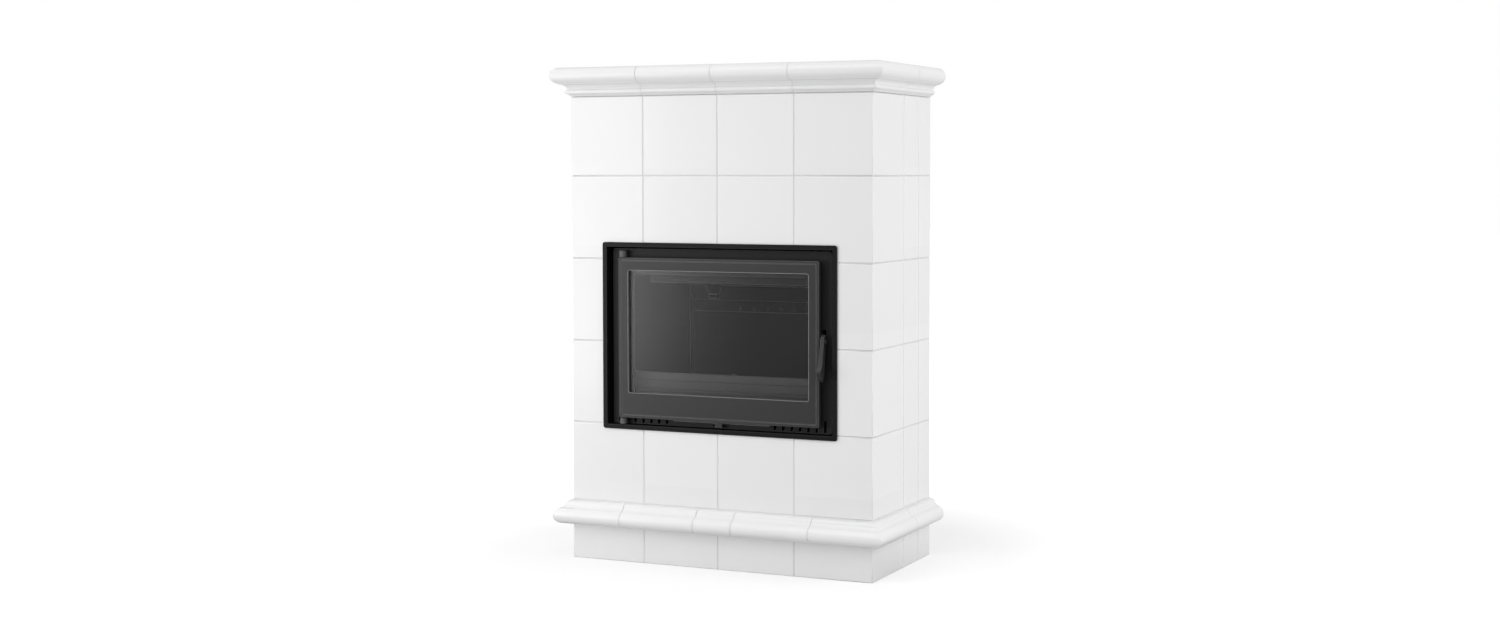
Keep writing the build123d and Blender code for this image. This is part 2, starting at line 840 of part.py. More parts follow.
def build_top():
    half_plate = plate_width / 2
    length = casing_depth - plate_front
    plate = block((-half_plate, half_plate), (plate_front, casing_depth), (cornice_top, plate_top))
    front_edges = plate.edges().filter_by(Axis.Z).sort_by(Axis.Y)[:2]
    plate = fillet(front_edges, min(plate_corner, length / 2))
    flange_range = (plate_top - plate_flange, plate_top)
    flange_y = (casing_depth, casing_depth + plate_thickness)
    plate += block((-half_plate, half_plate), flange_y, flange_range)
    plate -= cylinder_z(flue_hole_radius, 0, flue_centre, (cornice_top, plate_top))
    save("top_plate", plate)

    outer_radius = flue_hole_radius + collar_wall
    collar = cylinder_z(outer_radius, 0, flue_centre, (collar_bottom, cornice_top))
    collar -= cylinder_z(flue_hole_radius, 0, flue_centre, (disc_bottom, cornice_top))
    collar -= cylinder_z(flue_hole_radius - collar_lip, 0, flue_centre, (collar_bottom, disc_bottom))
    save("flue_collar", collar)

    disc_radius = flue_hole_radius - disc_clearance
    disc_top = disc_bottom + disc_thickness
    rib_top = disc_top + rib_height
    disc = cylinder_z(disc_radius, 0, flue_centre, (disc_bottom, rib_top))
    grooves = []
    groove_half = (rib_pitch - rib_width) / 2
    groove_count = int(disc_radius / rib_pitch)
    for index in range(-groove_count, groove_count + 1):
        middle = index * rib_pitch
        y_range = (flue_centre - disc_radius, flue_centre + disc_radius)
        grooves.append(block((middle - groove_half, middle + groove_half), y_range, (disc_top, rib_top)))
    save("blanking_disc", disc - grooves)


# Insert


def build_trim_frame():
    z_range = (frame_bottom, frame_top)
    leg_range = (frame_bottom + frame_web - frame_sheet, frame_top - frame_web + frame_sheet)
    leg_half = frame_half_width - frame_web + frame_sheet
    web_range = (-frame_proud, frame_sheet - frame_proud)
    frame = ring_xz(frame_half_width, z_range, frame_web, web_range, frame_corner)
    frame += ring_xz(frame_half_width, z_range, frame_sheet, (-frame_proud, 0), frame_corner)
    leg_y = (-frame_proud, frame_leg - frame_proud)
    frame += ring_xz(leg_half, leg_range, frame_sheet, leg_y, frame_leg_corner)
    save("trim_frame", frame)


def slot_xz(x, z, width, height, y_range):
    """An upright slot with round ends, as a cutter along y."""
    plane = Plane(origin=(x, y_range[1], z), x_dir=(0, 0, 1), z_dir=(0, -1, 0))
    return extrude(plane * SlotOverall(height, width), amount=y_range[1] - y_range[0])


def hinge_lug(z_range):
    """A hinge eye that stands forward from the front plate."""
    eye = cylinder_z(hinge_lug_radius, hinge_x, hinge_y, z_range)
    web = (hinge_x - hinge_lug_radius, hinge_x + hinge_lug_radius)
    return eye + block(web, (hinge_y, front_plate_face), z_range)


def keeper_pocket():
    """The closed pocket behind the slot that the latch hook enters."""
    half = recess_width / 2
    pocket_back = front_plate_face + recess_depth
    outer_x = (recess_centre - half - recess_wall, recess_centre + half + recess_wall)
    outer_z = (recess_bottom - recess_wall, recess_top + recess_wall)
    return block(outer_x, (front_plate_back, pocket_back + recess_wall), outer_z)


def keeper_cut():
    half = recess_width / 2
    pocket_back = front_plate_face + recess_depth
    x_range = (recess_centre - half, recess_centre + half)
    return block(x_range, (front_plate_face, pocket_back), (recess_bottom, recess_top))


def build_front_plate():
    y_range = (front_plate_face, front_plate_back)
    plate = plate_xz(front_plate_half, (front_plate_bottom, front_plate_top), y_range, frame_corner)
    bead_half = bead_rail_half + bead_rail_width / 2
    bead_z = (bead_rail_bottom - bead_rail_width / 2, bead_rail_top + bead_rail_width / 2)
    bead_y = (front_plate_face - bead_rail_height, front_plate_face)
    plate += ring_xz(bead_half, bead_z, bead_rail_width, bead_y, bead_rail_corner)
    plate += hinge_lug((top_lug_bottom, top_lug_top))
    plate += hinge_lug((front_plate_bottom, bottom_lug_top))
    plate += keeper_pocket()
    cut_y = (front_plate_face - bead_rail_height, front_plate_back)
    cutters = [plate_xz(mouth_half, (mouth_bottom, mouth_top), cut_y, window_corner), keeper_cut()]
    for index in range(slot_count):
        x = slot_first + index * slot_pitch
        cutters += [slot_xz(side * x, slot_centre, slot_width, slot_height, cut_y) for side in (-1, 1)]
    drawer_x = drawer_half + drawer_clearance
    drawer_z = (drawer_bottom - drawer_clearance / 2, drawer_top + drawer_clearance)
    cutters.append(block((-drawer_x, drawer_x), cut_y, drawer_z))
    slot_z = (slider_bottom - slider_clearance, slider_bottom + slider_thickness + slider_clearance)
    cutters.append(block((-slider_slot_half, slider_slot_half), cut_y, slot_z))
    pin_z = (front_plate_bottom, top_lug_top)
    cutters.append(cylinder_z(hinge_pin_radius, hinge_x, hinge_y, pin_z))
    keeper_half = recess_width / 2 + recess_wall
    keeper_x = (recess_centre - keeper_half, recess_centre + keeper_half)
    cutters.append(cylinder_x(keeper_radius, keeper_y, keeper_z, keeper_x))
    shank = (front_plate_face, front_plate_back)
    for side in (-1, 1):
        cutters.append(cylinder_y(mouth_screw_radius / 2, side * mouth_screw_x, mouth_screw_z, shank))
    save("front_plate", plate - cutters)
    save("keeper_pin", cylinder_x(keeper_radius, keeper_y, keeper_z, keeper_x))


def build_mouth_screws():
    screws = []
    head_y = (front_plate_face - bead_rail_height, front_plate_face)
    shank_y = (front_plate_face, front_plate_back)
    for side in (-1, 1):
        x = side * mouth_screw_x
        head = cylinder_y(mouth_screw_radius, x, mouth_screw_z, head_y)
        shank = cylinder_y(mouth_screw_radius / 2, x, mouth_screw_z, shank_y)
        screws.append(head + shank)
    save("mouth_screws", *screws)


def build_hinge():
    """Two pins held in the plate's lugs, and the washer that the door turns on."""
    top_pin = cylinder_z(hinge_pin_radius, hinge_x, hinge_y, (door_top - top_pin_depth, top_lug_top))
    foot_pin_z = (front_plate_bottom, door_bottom + bottom_pin_depth)
    foot_pin = cylinder_z(hinge_pin_radius, hinge_x, hinge_y, foot_pin_z)
    save("hinge_pins", top_pin, foot_pin)
    washer = cylinder_z(washer_radius, hinge_x, hinge_y, (bottom_lug_top, door_bottom - washer_gap))
    washer -= cylinder_z(hinge_pin_radius, hinge_x, hinge_y, (bottom_lug_top, door_bottom))
    save("hinge_washer", washer)


def firebox_lugs(side):
    """On one side: the lugs over the hearth, the baffle's rest and the log guard's holders."""
    inner_x = sided(side, body_inner - lug_reach, body_inner)
    lug_z = (hearth_top, hearth_top + lug_height)
    rest_z = (baffle_foot - hook_drop - rest_height, baffle_foot - hook_drop)
    holder_z = (guard_bottom, guard_bottom + guard_height)
    lug_y = (body_inner_back - lug_reach, body_inner_back)
    rest_y = (body_inner_back - rest_reach, body_inner_back)
    lugs = [
        block(inner_x, around(side_lug_y, lug_width), lug_z),
        block(around(side * back_lug_x, lug_width), lug_y, lug_z),
        block(around(side * hook_x, rest_width), rest_y, rest_z),
    ]
    holder_shift = (guard_thickness + holder_wall) / 2 + holder_gap
    for shift in (-holder_shift, holder_shift):
        holder_y = around(guard_front + guard_thickness / 2 + shift, holder_wall)
        lugs.append(block(inner_x, holder_y, holder_z))
    return lugs


def build_firebox():
    outer_x = (-body_half, body_half)
    inner_range = (-body_inner, body_inner)
    y_range = (front_plate_back, body_back)
    inner_y = (front_plate_back, body_inner_back)
    body = block(outer_x, y_range, (body_bottom, body_top))
    body -= block(inner_range, inner_y, (chamber_floor, body_top))
    ledge_z = (hearth_bottom - ledge_thickness, hearth_bottom)
    ledge = block(inner_range, inner_y, ledge_z)
    open_x = (-body_inner + ledge_width, body_inner - ledge_width)
    body += ledge - block(open_x, (front_plate_back, body_inner_back - ledge_width), ledge_z)
    inlet_start = front_plate_back + inlet_setback
    inlet_y = (inlet_start, inlet_start + inlet_depth)
    for side in (-1, 1):
        partition = sided(side, partition_x, partition_x + partition_thickness)
        body += block(partition, inner_y, (chamber_floor, hearth_bottom))
        for lug in firebox_lugs(side):
            body += lug
        body -= block(around(side * inlet_x, inlet_width), inlet_y, (body_bottom, chamber_floor))
    save("firebox_body", body)

    strip_y = (body_inner_back - air_strip_thickness, body_inner_back)
    strip = block(inner_range, strip_y, (air_strip_bottom, air_strip_top))
    holes = []
    for index in range(air_hole_count):
        x = air_hole_start + index * air_hole_pitch
        holes.append(cylinder_y(air_hole_radius, x, air_hole_height, strip_y))
    save("rear_air_strip", strip - holes)


def build_hearth():
    clearance = hearth_clearance
    base_x = body_inner - clearance
    base_y = (front_plate_back + clearance, body_inner_back - clearance)
    web_top = hearth_bottom + hearth_web
    rim_top = web_top + hearth_rim
    base = block((-base_x, base_x), base_y, (hearth_bottom, rim_top))
    well_x = base_x - hearth_rim_side
    well_y = (base_y[0] + hearth_rim_front, base_y[1] - hearth_rim_back)
    base -= block((-well_x, well_x), well_y, (web_top, rim_top))
    fall_x = grate_half - grate_seat
    fall_y = (grate_front + grate_seat, well_y[1] - grate_seat)
    base -= block((-fall_x, fall_x), fall_y, (hearth_bottom, web_top))
    notch_y = around(side_lug_y, lug_width + 2 * clearance)
    for side in (-1, 1):
        notch_x = sided(side, base_x - lug_reach - clearance, base_x)
        base -= block(notch_x, notch_y, (hearth_top, rim_top))
        back_x = around(side * back_lug_x, lug_width + 2 * clearance)
        base -= block(back_x, (base_y[1] - lug_reach - clearance, base_y[1]), (hearth_top, rim_top))
    save("hearth_base", base)

    plate_z = (web_top, hearth_top)
    well_inner_y = (well_y[0] + clearance, well_y[1] - clearance)
    side_plate = block((grate_half + clearance, well_x - clearance), well_inner_y, plate_z)
    strip_y = (well_inner_y[0], grate_front - 2 * clearance)
    front_strip = block((-grate_half, grate_half), strip_y, plate_z)
    save("hearth_plates", side_plate, mirrored(side_plate), front_strip)

    grate_y = (grate_front, well_y[1] - clearance)
    grate = block((-grate_half + clearance, grate_half - clearance), grate_y, plate_z)
    middle_y = sum(grate_y) / 2
    holes = []
    for row in range(grate_rows):
        shift = grate_stagger if row % 2 else -grate_stagger
        y = middle_y + (row - (grate_rows - 1) / 2) * grate_row_pitch
        for column in range(grate_columns):
            x = shift + (column - (grate_columns - 1) / 2) * grate_column_pitch
            hole = Pos(x, y, web_top) * Rectangle(grate_hole_length, grate_hole_width)
            holes.append(extrude(hole, amount=hearth_plate_thickness))
    save("grate", grate - holes)

    guard_x = body_inner - guard_end_gap
    guard_y = (guard_front, guard_front + guard_thickness)
    guard = block((-guard_x, guard_x), guard_y, (guard_bottom, guard_bottom + guard_height))
    for rise in (guard_low_groove, guard_middle_groove, guard_high_groove):
        z = guard_bottom + rise
        groove = block((-mouth_half, mouth_half), (guard_front, guard_front + guard_groove),
                       (z - guard_groove / 2, z + guard_groove / 2))
        guard -= groove
    save("log_guard", guard)


def build_baffle():
    foot = (body_inner_back - baffle_clearance, baffle_foot)
    knee = (baffle_knee_y, baffle_knee_z)
    front = (baffle_front_y, baffle_front_z)
    lower = Polyline(foot, knee, front, (front[0], front[1] + baffle_thickness),
                     (knee[0] + baffle_thickness / 2, knee[1] + baffle_thickness),
                     (foot[0], foot[1] + baffle_thickness * 2), close=True)
    section = Plane.YZ * make_face(lower)
    width = body_inner - baffle_clearance
    baffle = extrude(section, amount=width, both=True)
    hook_foot = baffle_foot - hook_drop
    for side in (-1, 1):
        centre = side * hook_x
        top_half = hook_top_width / 2
        foot_half = hook_foot_width / 2
        outline = Polyline((centre - top_half, baffle_foot), (centre - foot_half, hook_foot),
                           (centre + foot_half, hook_foot), (centre + top_half, baffle_foot),
                           (centre + top_half, baffle_foot + baffle_thickness),
                           (centre - top_half, baffle_foot + baffle_thickness), close=True)
        hook_y = body_inner_back - baffle_clearance
        plane = Plane(origin=(0, hook_y, 0), x_dir=(1, 0, 0), z_dir=(0, -1, 0))
        baffle += extrude(plane * make_face(outline), amount=baffle_thickness)
    save("smoke_baffle", baffle)


def build_dome():
    """Smoke hood: a hollow pyramid on a flange, whose flat top carries the neck and the spigot."""
    middle_y = (front_plate_back + body_back) / 2
    depth = body_back - front_plate_back
    foot_z = body_top + dome_flange
    flange = block((-body_half, body_half), (front_plate_back, body_back), (body_top, foot_z))

    def hood(wall, top_z):
        inset = dome_inset + wall
        foot = Pos(0, middle_y, foot_z) * Rectangle(2 * (body_half - inset), depth - 2 * inset)
        head_side = 2 * (dome_neck_radius - wall)
        head = Pos(0, flue_centre, top_z) * Rectangle(head_side, head_side)
        return loft([foot, head])

    inner_inset = dome_inset + dome_wall
    inner_x = (inner_inset - body_half, body_half - inner_inset)
    inner_y = around(middle_y, depth - 2 * inner_inset)
    flange -= block(inner_x, inner_y, (body_top, foot_z))
    dome = hood(0, dome_neck_bottom) - hood(dome_wall, dome_neck_bottom - dome_wall) + flange
    seat_z = (dome_neck_bottom - dome_wall, dome_neck_bottom)
    neck_z = (dome_neck_bottom, dome_neck_bottom + dome_neck_height)
    dome += cylinder_z(dome_neck_radius, 0, flue_centre, neck_z)
    dome -= cylinder_z(spigot_radius, 0, flue_centre, neck_z)
    dome -= cylinder_z(spigot_radius - spigot_wall, 0, flue_centre, seat_z)
    save("smoke_dome", dome)

    spigot_z = (dome_neck_bottom, spigot_top)
    spigot = cylinder_z(spigot_radius, 0, flue_centre, spigot_z)
    spigot -= cylinder_z(spigot_radius - spigot_wall, 0, flue_centre, spigot_z)
    save("flue_spigot", spigot)


# Door


def build_door():
    y_range = (door_front, door_back)
    z_range = (door_bottom, door_top)
    door = plate_xz(door_half, z_range, y_range, door_corner)
    back_edges = door.edges().filter_by(Axis.Z).group_by(Axis.Y)[-1].sort_by(Axis.X)
    door = fillet(back_edges[:1], door_hinge_fillet)
    front_edges = door.faces().sort_by(Axis.Y)[0].edges()
    door = chamfer(front_edges, door_edge)

    seal_half = bead_rail_half + seal_width / 2
    seal_z = (bead_rail_bottom - seal_width / 2, bead_rail_top + seal_width / 2)
    channel = ring_xz(seal_half, seal_z, seal_width, (seal_front, door_back), bead_rail_corner)
    groove_half = door_half - door_groove_inset
    groove_z = (door_bottom + door_groove_inset, door_top - door_groove_inset)
    groove_y = (door_front, door_front + door_groove)
    groove = ring_xz(groove_half, groove_z, door_groove, groove_y, door_groove_corner)
    window = plate_xz(window_half, (window_bottom, window_top), y_range, window_corner)
    pocket_half = glass_half + glass_clearance
    pocket_z = (glass_bottom - glass_clearance, glass_top + glass_clearance)
    glass_pocket = plate_xz(pocket_half, pocket_z, (skin_back, door_back), window_corner)
    rib_half = seal_half - seal_width
    rib_z = (seal_z[0] + seal_width, seal_z[1] - seal_width)
    rib_cut = plate_xz(rib_half, rib_z, (rib_back, door_back), rib_corner)
    rail_x = bead_rail_half - rail_pocket_margin
    rail_z = (door_bottom + rail_pocket_margin, seal_z[0] - rail_pocket_margin)
    rail_y = (door_back - rail_pocket_depth, door_back)
    rail_pocket = block((hinge_x + 2 * washer_radius, rail_x), rail_y, rail_z)
    bore_radius = hinge_pin_radius + running_clearance
    top_bore_z = (door_top - top_pin_depth - pin_end_gap, door_top)
    foot_bore_z = (door_bottom, door_bottom + bottom_pin_depth + pin_end_gap)
    top_bore = cylinder_z(bore_radius, hinge_x, hinge_y, top_bore_z)
    foot_bore = cylinder_z(bore_radius, hinge_x, hinge_y, foot_bore_z)
    pivot = cylinder_x(pivot_pin_radius, hinge_y, pivot_z, (door_half - pivot_anchor, door_half))
    screw_holes = [cylinder_y(clip_screw_radius, x, z, (skin_back + clip_screw_stop, rib_back))
                   for x, z, _ in clip_places()]
    cutters = [channel, groove, window, glass_pocket, rib_cut, rail_pocket, top_bore, foot_bore, pivot]
    save("door_frame", door - cutters - screw_holes)

    seal = ring_xz(seal_half, seal_z, seal_width, (seal_front, door_back), bead_rail_corner)
    seal = chamfer(seal.faces().sort_by(Axis.Y)[-1].edges(), seal_chamfer)
    save("door_seal", seal)
    gasket_z = (glass_bottom, glass_top)
    gasket = ring_xz(glass_half, gasket_z, glass_overlap, (skin_back, glass_front), glass_corner)
    save("glass_gasket", gasket)
    save("door_glass", plate_xz(glass_half, gasket_z, (glass_front, glass_back), glass_corner))


def clip_places():
    """Where each glass clip's screw stands, and the turn that points the clip at the glass."""
    side_x = (glass_half + glass_clearance + bead_rail_half - seal_width / 2) / 2
    offset = side_x - glass_half
    places = [(side_x, clip_side_z, 0), (-side_x, clip_side_z, half_turn)]
    for side in (-1, 1):
        places.append((side * clip_rail_x, glass_top + offset, half_turn / 2))
        places.append((side * clip_rail_x, glass_bottom - offset, -half_turn / 2))
    return places


def build_clips():
    """Each clip is a bent strip: one end under a screw on the rib, the other on the glass."""
    offset = (glass_clearance + bead_rail_half - seal_width / 2 - glass_half) / 2
    reach = offset + glass_overlap - clip_edge_gap
    bend = offset - glass_clearance / 2
    outer_bend = bend + clip_lead
    rib_face = rib_back + clip_thickness
    glass_face = glass_back + clip_thickness
    section = Polyline((clip_foot, rib_back), (clip_foot, rib_face), (-outer_bend, rib_face),
                       (-outer_bend - clip_slant, glass_face), (-reach, glass_face), (-reach, glass_back),
                       (-bend - clip_slant, glass_back), (-bend, rib_back), close=True)
    plane = Plane(origin=(0, 0, 0), x_dir=(1, 0, 0), z_dir=(0, 0, 1))
    strip = extrude(plane * make_face(section), amount=clip_width / 2, both=True)
    strip -= cylinder_y(clip_screw_radius, 0, 0, (rib_back, rib_back + clip_thickness))
    clips = []
    screws = []
    head_start = rib_back + clip_thickness
    for x, z, turn in clip_places():
        place = Pos(x, 0, z) * Rot(0, -turn, 0)
        clips.append(place * strip)
        head = cylinder_y(clip_head_radius, x, z, (head_start, head_start + clip_head_height))
        shank_y = (skin_back + clip_screw_stop, head_start)
        screws.append(head + cylinder_y(clip_screw_radius, x, z, shank_y))
    save("glass_clips", *clips)
    save("clip_screws", *screws)


def pivot_plane(x):
    """The upright plane across the pivot pin: its own x is the stove's y, its own y is up."""
    return Plane(origin=(x, hinge_y, pivot_z), x_dir=(0, 1, 0), z_dir=(1, 0, 0))


def lever_outline():
    """The lever seen from the side: a slim grip, slanted at its head and flared at its foot."""
    neck = (-lever_front, lever_flare + lever_neck - lever_foot)
    flare = (-lever_foot_reach, lever_flare - lever_foot)
    toe = (-lever_front, lever_toe - lever_foot)
    heel = (lever_back - lever_heel_inset, -lever_foot)
    head = (-lever_front, lever_top - lever_top_slope)
    return outline_face(
        Line(head, neck),
        Line(neck, flare),
        ThreePointArc(flare, toe, heel),
        Line(heel, (lever_back, lever_heel - lever_foot)),
        Line((lever_back, lever_heel - lever_foot), (lever_back, lever_back_start)),
        Line((lever_back, lever_back_start), (lever_top_half, lever_top)),
        Line((lever_top_half, lever_top), (-lever_top_half, lever_top)),
        Line((-lever_top_half, lever_top), head),
    )


def hook_outline(keeper, margin):
    """Hub and arm of the latch hook, grown by a margin."""
    distance = math.hypot(*keeper)
    angle = math.degrees(math.atan2(keeper[1], keeper[0]))
    hook_radius = keeper_radius + keeper_clearance + hook_wall
    arm_height = 1.5 * hook_radius + 2 * margin
    arm = Rot(0, 0, angle) * Pos(distance / 2, -hook_radius / 4) * Rectangle(distance, arm_height)
    return Circle(hook_hub_radius + margin) + arm


def build_handle():
    """Lever on its pin, and the latch hook seated in the lever that catches the keeper pin."""
    lever = extrude(pivot_plane(lever_x) * lever_outline(), amount=lever_thickness)
    lever = chamfer(lever.faces().sort_by(Axis.X)[-1].edges(), lever_edge)
    keeper = (keeper_y - hinge_y, keeper_z - pivot_z)
    seat = hook_outline(keeper, hook_seat_clearance)
    lever -= extrude(pivot_plane(hook_start) * seat, amount=hook_thickness + hook_seat_clearance)
    bore_x = (hook_start, lever_x + lever_thickness)
    bore = cylinder_x(pivot_pin_radius + running_clearance, hinge_y, pivot_z, bore_x)
    axis = Axis((0, hinge_y, pivot_z), (-1, 0, 0))
    save("handle_lever", (lever - bore).rotate(axis, release_angle))

    cup = keeper_radius + keeper_clearance
    hook_radius = cup + hook_wall
    throat_height = 4 * hook_radius
    throat = Pos(keeper[0], keeper[1] + throat_height / 2) * Rectangle(2 * cup, throat_height)
    tip_cut = Pos(keeper[0] + hook_radius, keeper[1] + keeper_tip + throat_height / 2)
    hook = hook_outline(keeper, 0) + Pos(*keeper) * Circle(hook_radius)
    hook -= Pos(*keeper) * Circle(cup) + throat + tip_cut * Rectangle(2 * hook_radius, throat_height)
    hook_solid = extrude(pivot_plane(hook_start) * hook, amount=hook_thickness)
    save("latch_hook", (hook_solid - bore).rotate(axis, release_angle))

    head_start = lever_x + lever_thickness + washer_gap
    pin = cylinder_x(pivot_pin_radius, hinge_y, pivot_z, (door_half - pivot_anchor, head_start))
    pin += cylinder_x(pivot_head_radius, hinge_y, pivot_z, (head_start, head_start + pivot_head_height))
    pin += cylinder_x(pivot_collar_radius, hinge_y, pivot_z, (door_half, hook_start - washer_gap))
    save("handle_pin", pin)


# Ash drawer and air slider


def build_drawer():
    panel_z = (drawer_bottom, drawer_top)
    panel = block((-drawer_half, drawer_half), (drawer_face, drawer_back), panel_z)
    tray_half = drawer_half - tray_gap
    tray_z = (tray_bottom, tray_top)
    tray = block((-tray_half, tray_half), (drawer_back, drawer_back + drawer_length), tray_z)
    pocket_half = bar_half + pocket_margin
    pocket_z = (bar_height - bar_radius - pocket_margin, bar_height + bar_radius + pocket_margin)
    pocket_back = drawer_face + pocket_depth
    trough_x = (-pocket_half - drawer_sheet, pocket_half + drawer_sheet)
    trough_z = (pocket_z[0] - drawer_sheet, pocket_z[1] + drawer_sheet)
    trough = block(trough_x, (drawer_back, pocket_back + drawer_sheet), trough_z)
    inner_x_range = (-tray_half + drawer_sheet, tray_half - drawer_sheet)
    inner_y_range = (drawer_back + drawer_sheet, drawer_back + drawer_length - drawer_sheet)
    tray -= block(inner_x_range, inner_y_range, (tray_z[0] + drawer_sheet, tray_z[1]))
    drawer = panel + tray + trough
    drawer -= block((-pocket_half, pocket_half), (drawer_face, pocket_back), pocket_z)
    bar_y = drawer_face + bar_radius + bar_inset
    pin_x = (-pocket_half - drawer_sheet, pocket_half + drawer_sheet)
    drawer -= cylinder_x(bar_pin_radius, bar_y, bar_height, pin_x)
    save("ash_drawer", drawer)
    bar = cylinder_x(bar_radius, bar_y, bar_height, (-bar_half, bar_half))
    save("drawer_bar", bar + cylinder_x(bar_pin_radius, bar_y, bar_height, pin_x))


def build_slider():
    top = slider_bottom + slider_thickness
    back_y = (front_plate_back + slider_clearance, front_plate_back + slider_depth)
    tab_front = front_plate_face - slider_tab_reach
    slider = block((-slider_half, slider_half), back_y, (slider_bottom, top))
    tab_x = (-slider_tab_half, slider_tab_half)
    slider += block(tab_x, (tab_front, back_y[0]), (slider_bottom, top))
    lip_y = (tab_front, tab_front + slider_tab_lip_thickness)
    slider += block(tab_x, lip_y, (top - slider_tab_lip / 2, top + slider_tab_lip / 2))
    window_start = front_plate_back + inlet_setback
    window_y = (window_start, window_start + inlet_depth)
    windows = []
    for side in (-1, 1):
        window_x = around(side * inlet_x + slider_travel, inlet_width)
        windows.append(block(window_x, window_y, (slider_bottom, top)))
    save("air_slider", slider - windows)


# Carcass


def build_carcass():
    slab_x = inner_x - slab_clearance
    slab_y = (tile_depth + slab_clearance, casing_depth - slab_clearance)
    save("base_slab", block((-slab_x, slab_x), slab_y, (0, plinth_height)))

    screw_reach = (board_back + rear_sheet - rear_screw_length, board_back + rear_sheet)
    screw_x = inner_x - board_thickness / 2
    span = board_top - plinth_height - 2 * rear_screw_inset
    heights = [plinth_height + rear_screw_inset + span * index / (rear_screw_rows - 1)
               for index in range(rear_screw_rows)]
    right_holes = [cylinder_y(rear_screw_radius, screw_x, z, screw_reach) for z in heights]
    holes = right_holes + [mirrored(hole) for hole in right_holes]
    board_x = (inner_x - board_thickness, inner_x)
    board = block(board_x, (tile_depth, board_back), (plinth_height, board_top)) - right_holes
    save("side_boards", board, mirrored(board))
    front_x = inner_x - board_thickness
    board_y = (tile_depth, tile_depth + board_thickness)
    lower_z = (plinth_height, opening_bottom - lower_board_gap)
    upper_z = (opening_top + upper_board_gap, board_top)
    save("front_board_lower", block((-front_x, front_x), board_y, lower_z))
    save("front_board_upper", block((-front_x, front_x), board_y, upper_z))

    panel_x = inner_x - rear_panel_clearance
    panel_y = (board_back, board_back + rear_sheet)
    panel_top = cornice_top - cornice_slab - rear_panel_clearance
    panel = block((-panel_x, panel_x), panel_y, (plinth_height, panel_top)) - holes
    save("rear_panel", panel)
    head_y = (panel_y[1], panel_y[1] + rear_screw_head_height)
    screws = []
    for side in (-1, 1):
        for z in heights:
            head = cylinder_y(rear_screw_head, side * screw_x, z, head_y)
            screws.append(head + cylinder_y(rear_screw_radius, side * screw_x, z, screw_reach))
    save("rear_panel_screws", *screws)


def build_stand():
    """Welded stand of steel angle that carries the insert."""
    legs = []
    for side in (-1, 1):
        for y, turn in ((stand_leg_front, 1), (stand_leg_back, -1)):
            flange_x = sided(side, stand_leg_x - stand_angle, stand_leg_x)
            sheet_x = sided(side, stand_leg_x - stand_sheet, stand_leg_x)
            flange_y = sorted((y, y + turn * stand_angle))
            sheet_y = sorted((y, y + turn * stand_sheet))
            leg = block(flange_x, sheet_y, (plinth_height, body_bottom - stand_sheet))
            legs.append(leg + block(sheet_x, flange_y, (plinth_height, body_bottom - stand_sheet)))
    outer_x = (-stand_leg_x, stand_leg_x)
    outer_y = (stand_leg_front, stand_leg_back)
    top_z = (body_bottom - stand_sheet, body_bottom)
    web_z = (body_bottom - stand_angle, body_bottom)
    stand_top = block(outer_x, outer_y, top_z)
    flat_x = (-stand_leg_x + stand_angle, stand_leg_x - stand_angle)
    flat_y = (stand_leg_front + stand_angle, stand_leg_back - stand_angle)
    stand_top -= block(flat_x, flat_y, top_z)
    web = block(outer_x, outer_y, web_z)
    web_x = (-stand_leg_x + stand_sheet, stand_leg_x - stand_sheet)
    web_y = (stand_leg_front + stand_sheet, stand_leg_back - stand_sheet)
    web -= block(web_x, web_y, web_z)
    stand = stand_top + web
    for leg in legs:
        stand += leg
    save("insert_stand", stand)


build_tiles()
build_base_moulding()
build_cornice()
build_grout()
build_top()
build_trim_frame()
build_front_plate()
build_mouth_screws()
build_hinge()
build_firebox()
build_hearth()
build_baffle()
build_dome()
build_door()
build_clips()
build_handle()
build_drawer()
build_slider()
build_carcass()
build_stand()
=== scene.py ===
import math

import bmesh
import bpy
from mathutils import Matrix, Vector


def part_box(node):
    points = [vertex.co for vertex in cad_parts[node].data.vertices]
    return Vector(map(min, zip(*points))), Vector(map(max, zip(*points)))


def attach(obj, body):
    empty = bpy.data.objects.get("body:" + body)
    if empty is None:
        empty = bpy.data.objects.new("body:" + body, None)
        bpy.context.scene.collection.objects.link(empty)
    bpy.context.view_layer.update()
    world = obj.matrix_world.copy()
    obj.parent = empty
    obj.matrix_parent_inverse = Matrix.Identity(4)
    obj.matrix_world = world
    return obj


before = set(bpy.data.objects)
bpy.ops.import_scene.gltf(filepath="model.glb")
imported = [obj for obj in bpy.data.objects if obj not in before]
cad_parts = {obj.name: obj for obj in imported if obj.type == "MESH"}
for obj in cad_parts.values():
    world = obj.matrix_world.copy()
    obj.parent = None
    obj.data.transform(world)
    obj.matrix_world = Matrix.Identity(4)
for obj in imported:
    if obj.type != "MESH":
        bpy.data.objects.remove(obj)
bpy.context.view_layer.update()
print("frame loaded:", len(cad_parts), "nodes")


# shader writing

class Wire:
    # one value in a node tree; sums of wires add their own nodes
    def __init__(self, paint, socket):
        self.paint = paint
        self.socket = socket

    def sibling(self, output):
        # another output of the same node
        return Wire(self.paint, self.socket.node.outputs[output])

    def combine(self, operation, first, second):
        return self.paint.add("Math", {"operation": operation}, {0: first, 1: second})

    def __add__(self, other):
        return self.combine("ADD", self, other)

    def __sub__(self, other):
        return self.combine("SUBTRACT", self, other)

    def __rsub__(self, other):
        return self.combine("SUBTRACT", other, self)

    def __mul__(self, other):
        return self.combine("MULTIPLY", self, other)

    __radd__ = __add__
    __rmul__ = __mul__


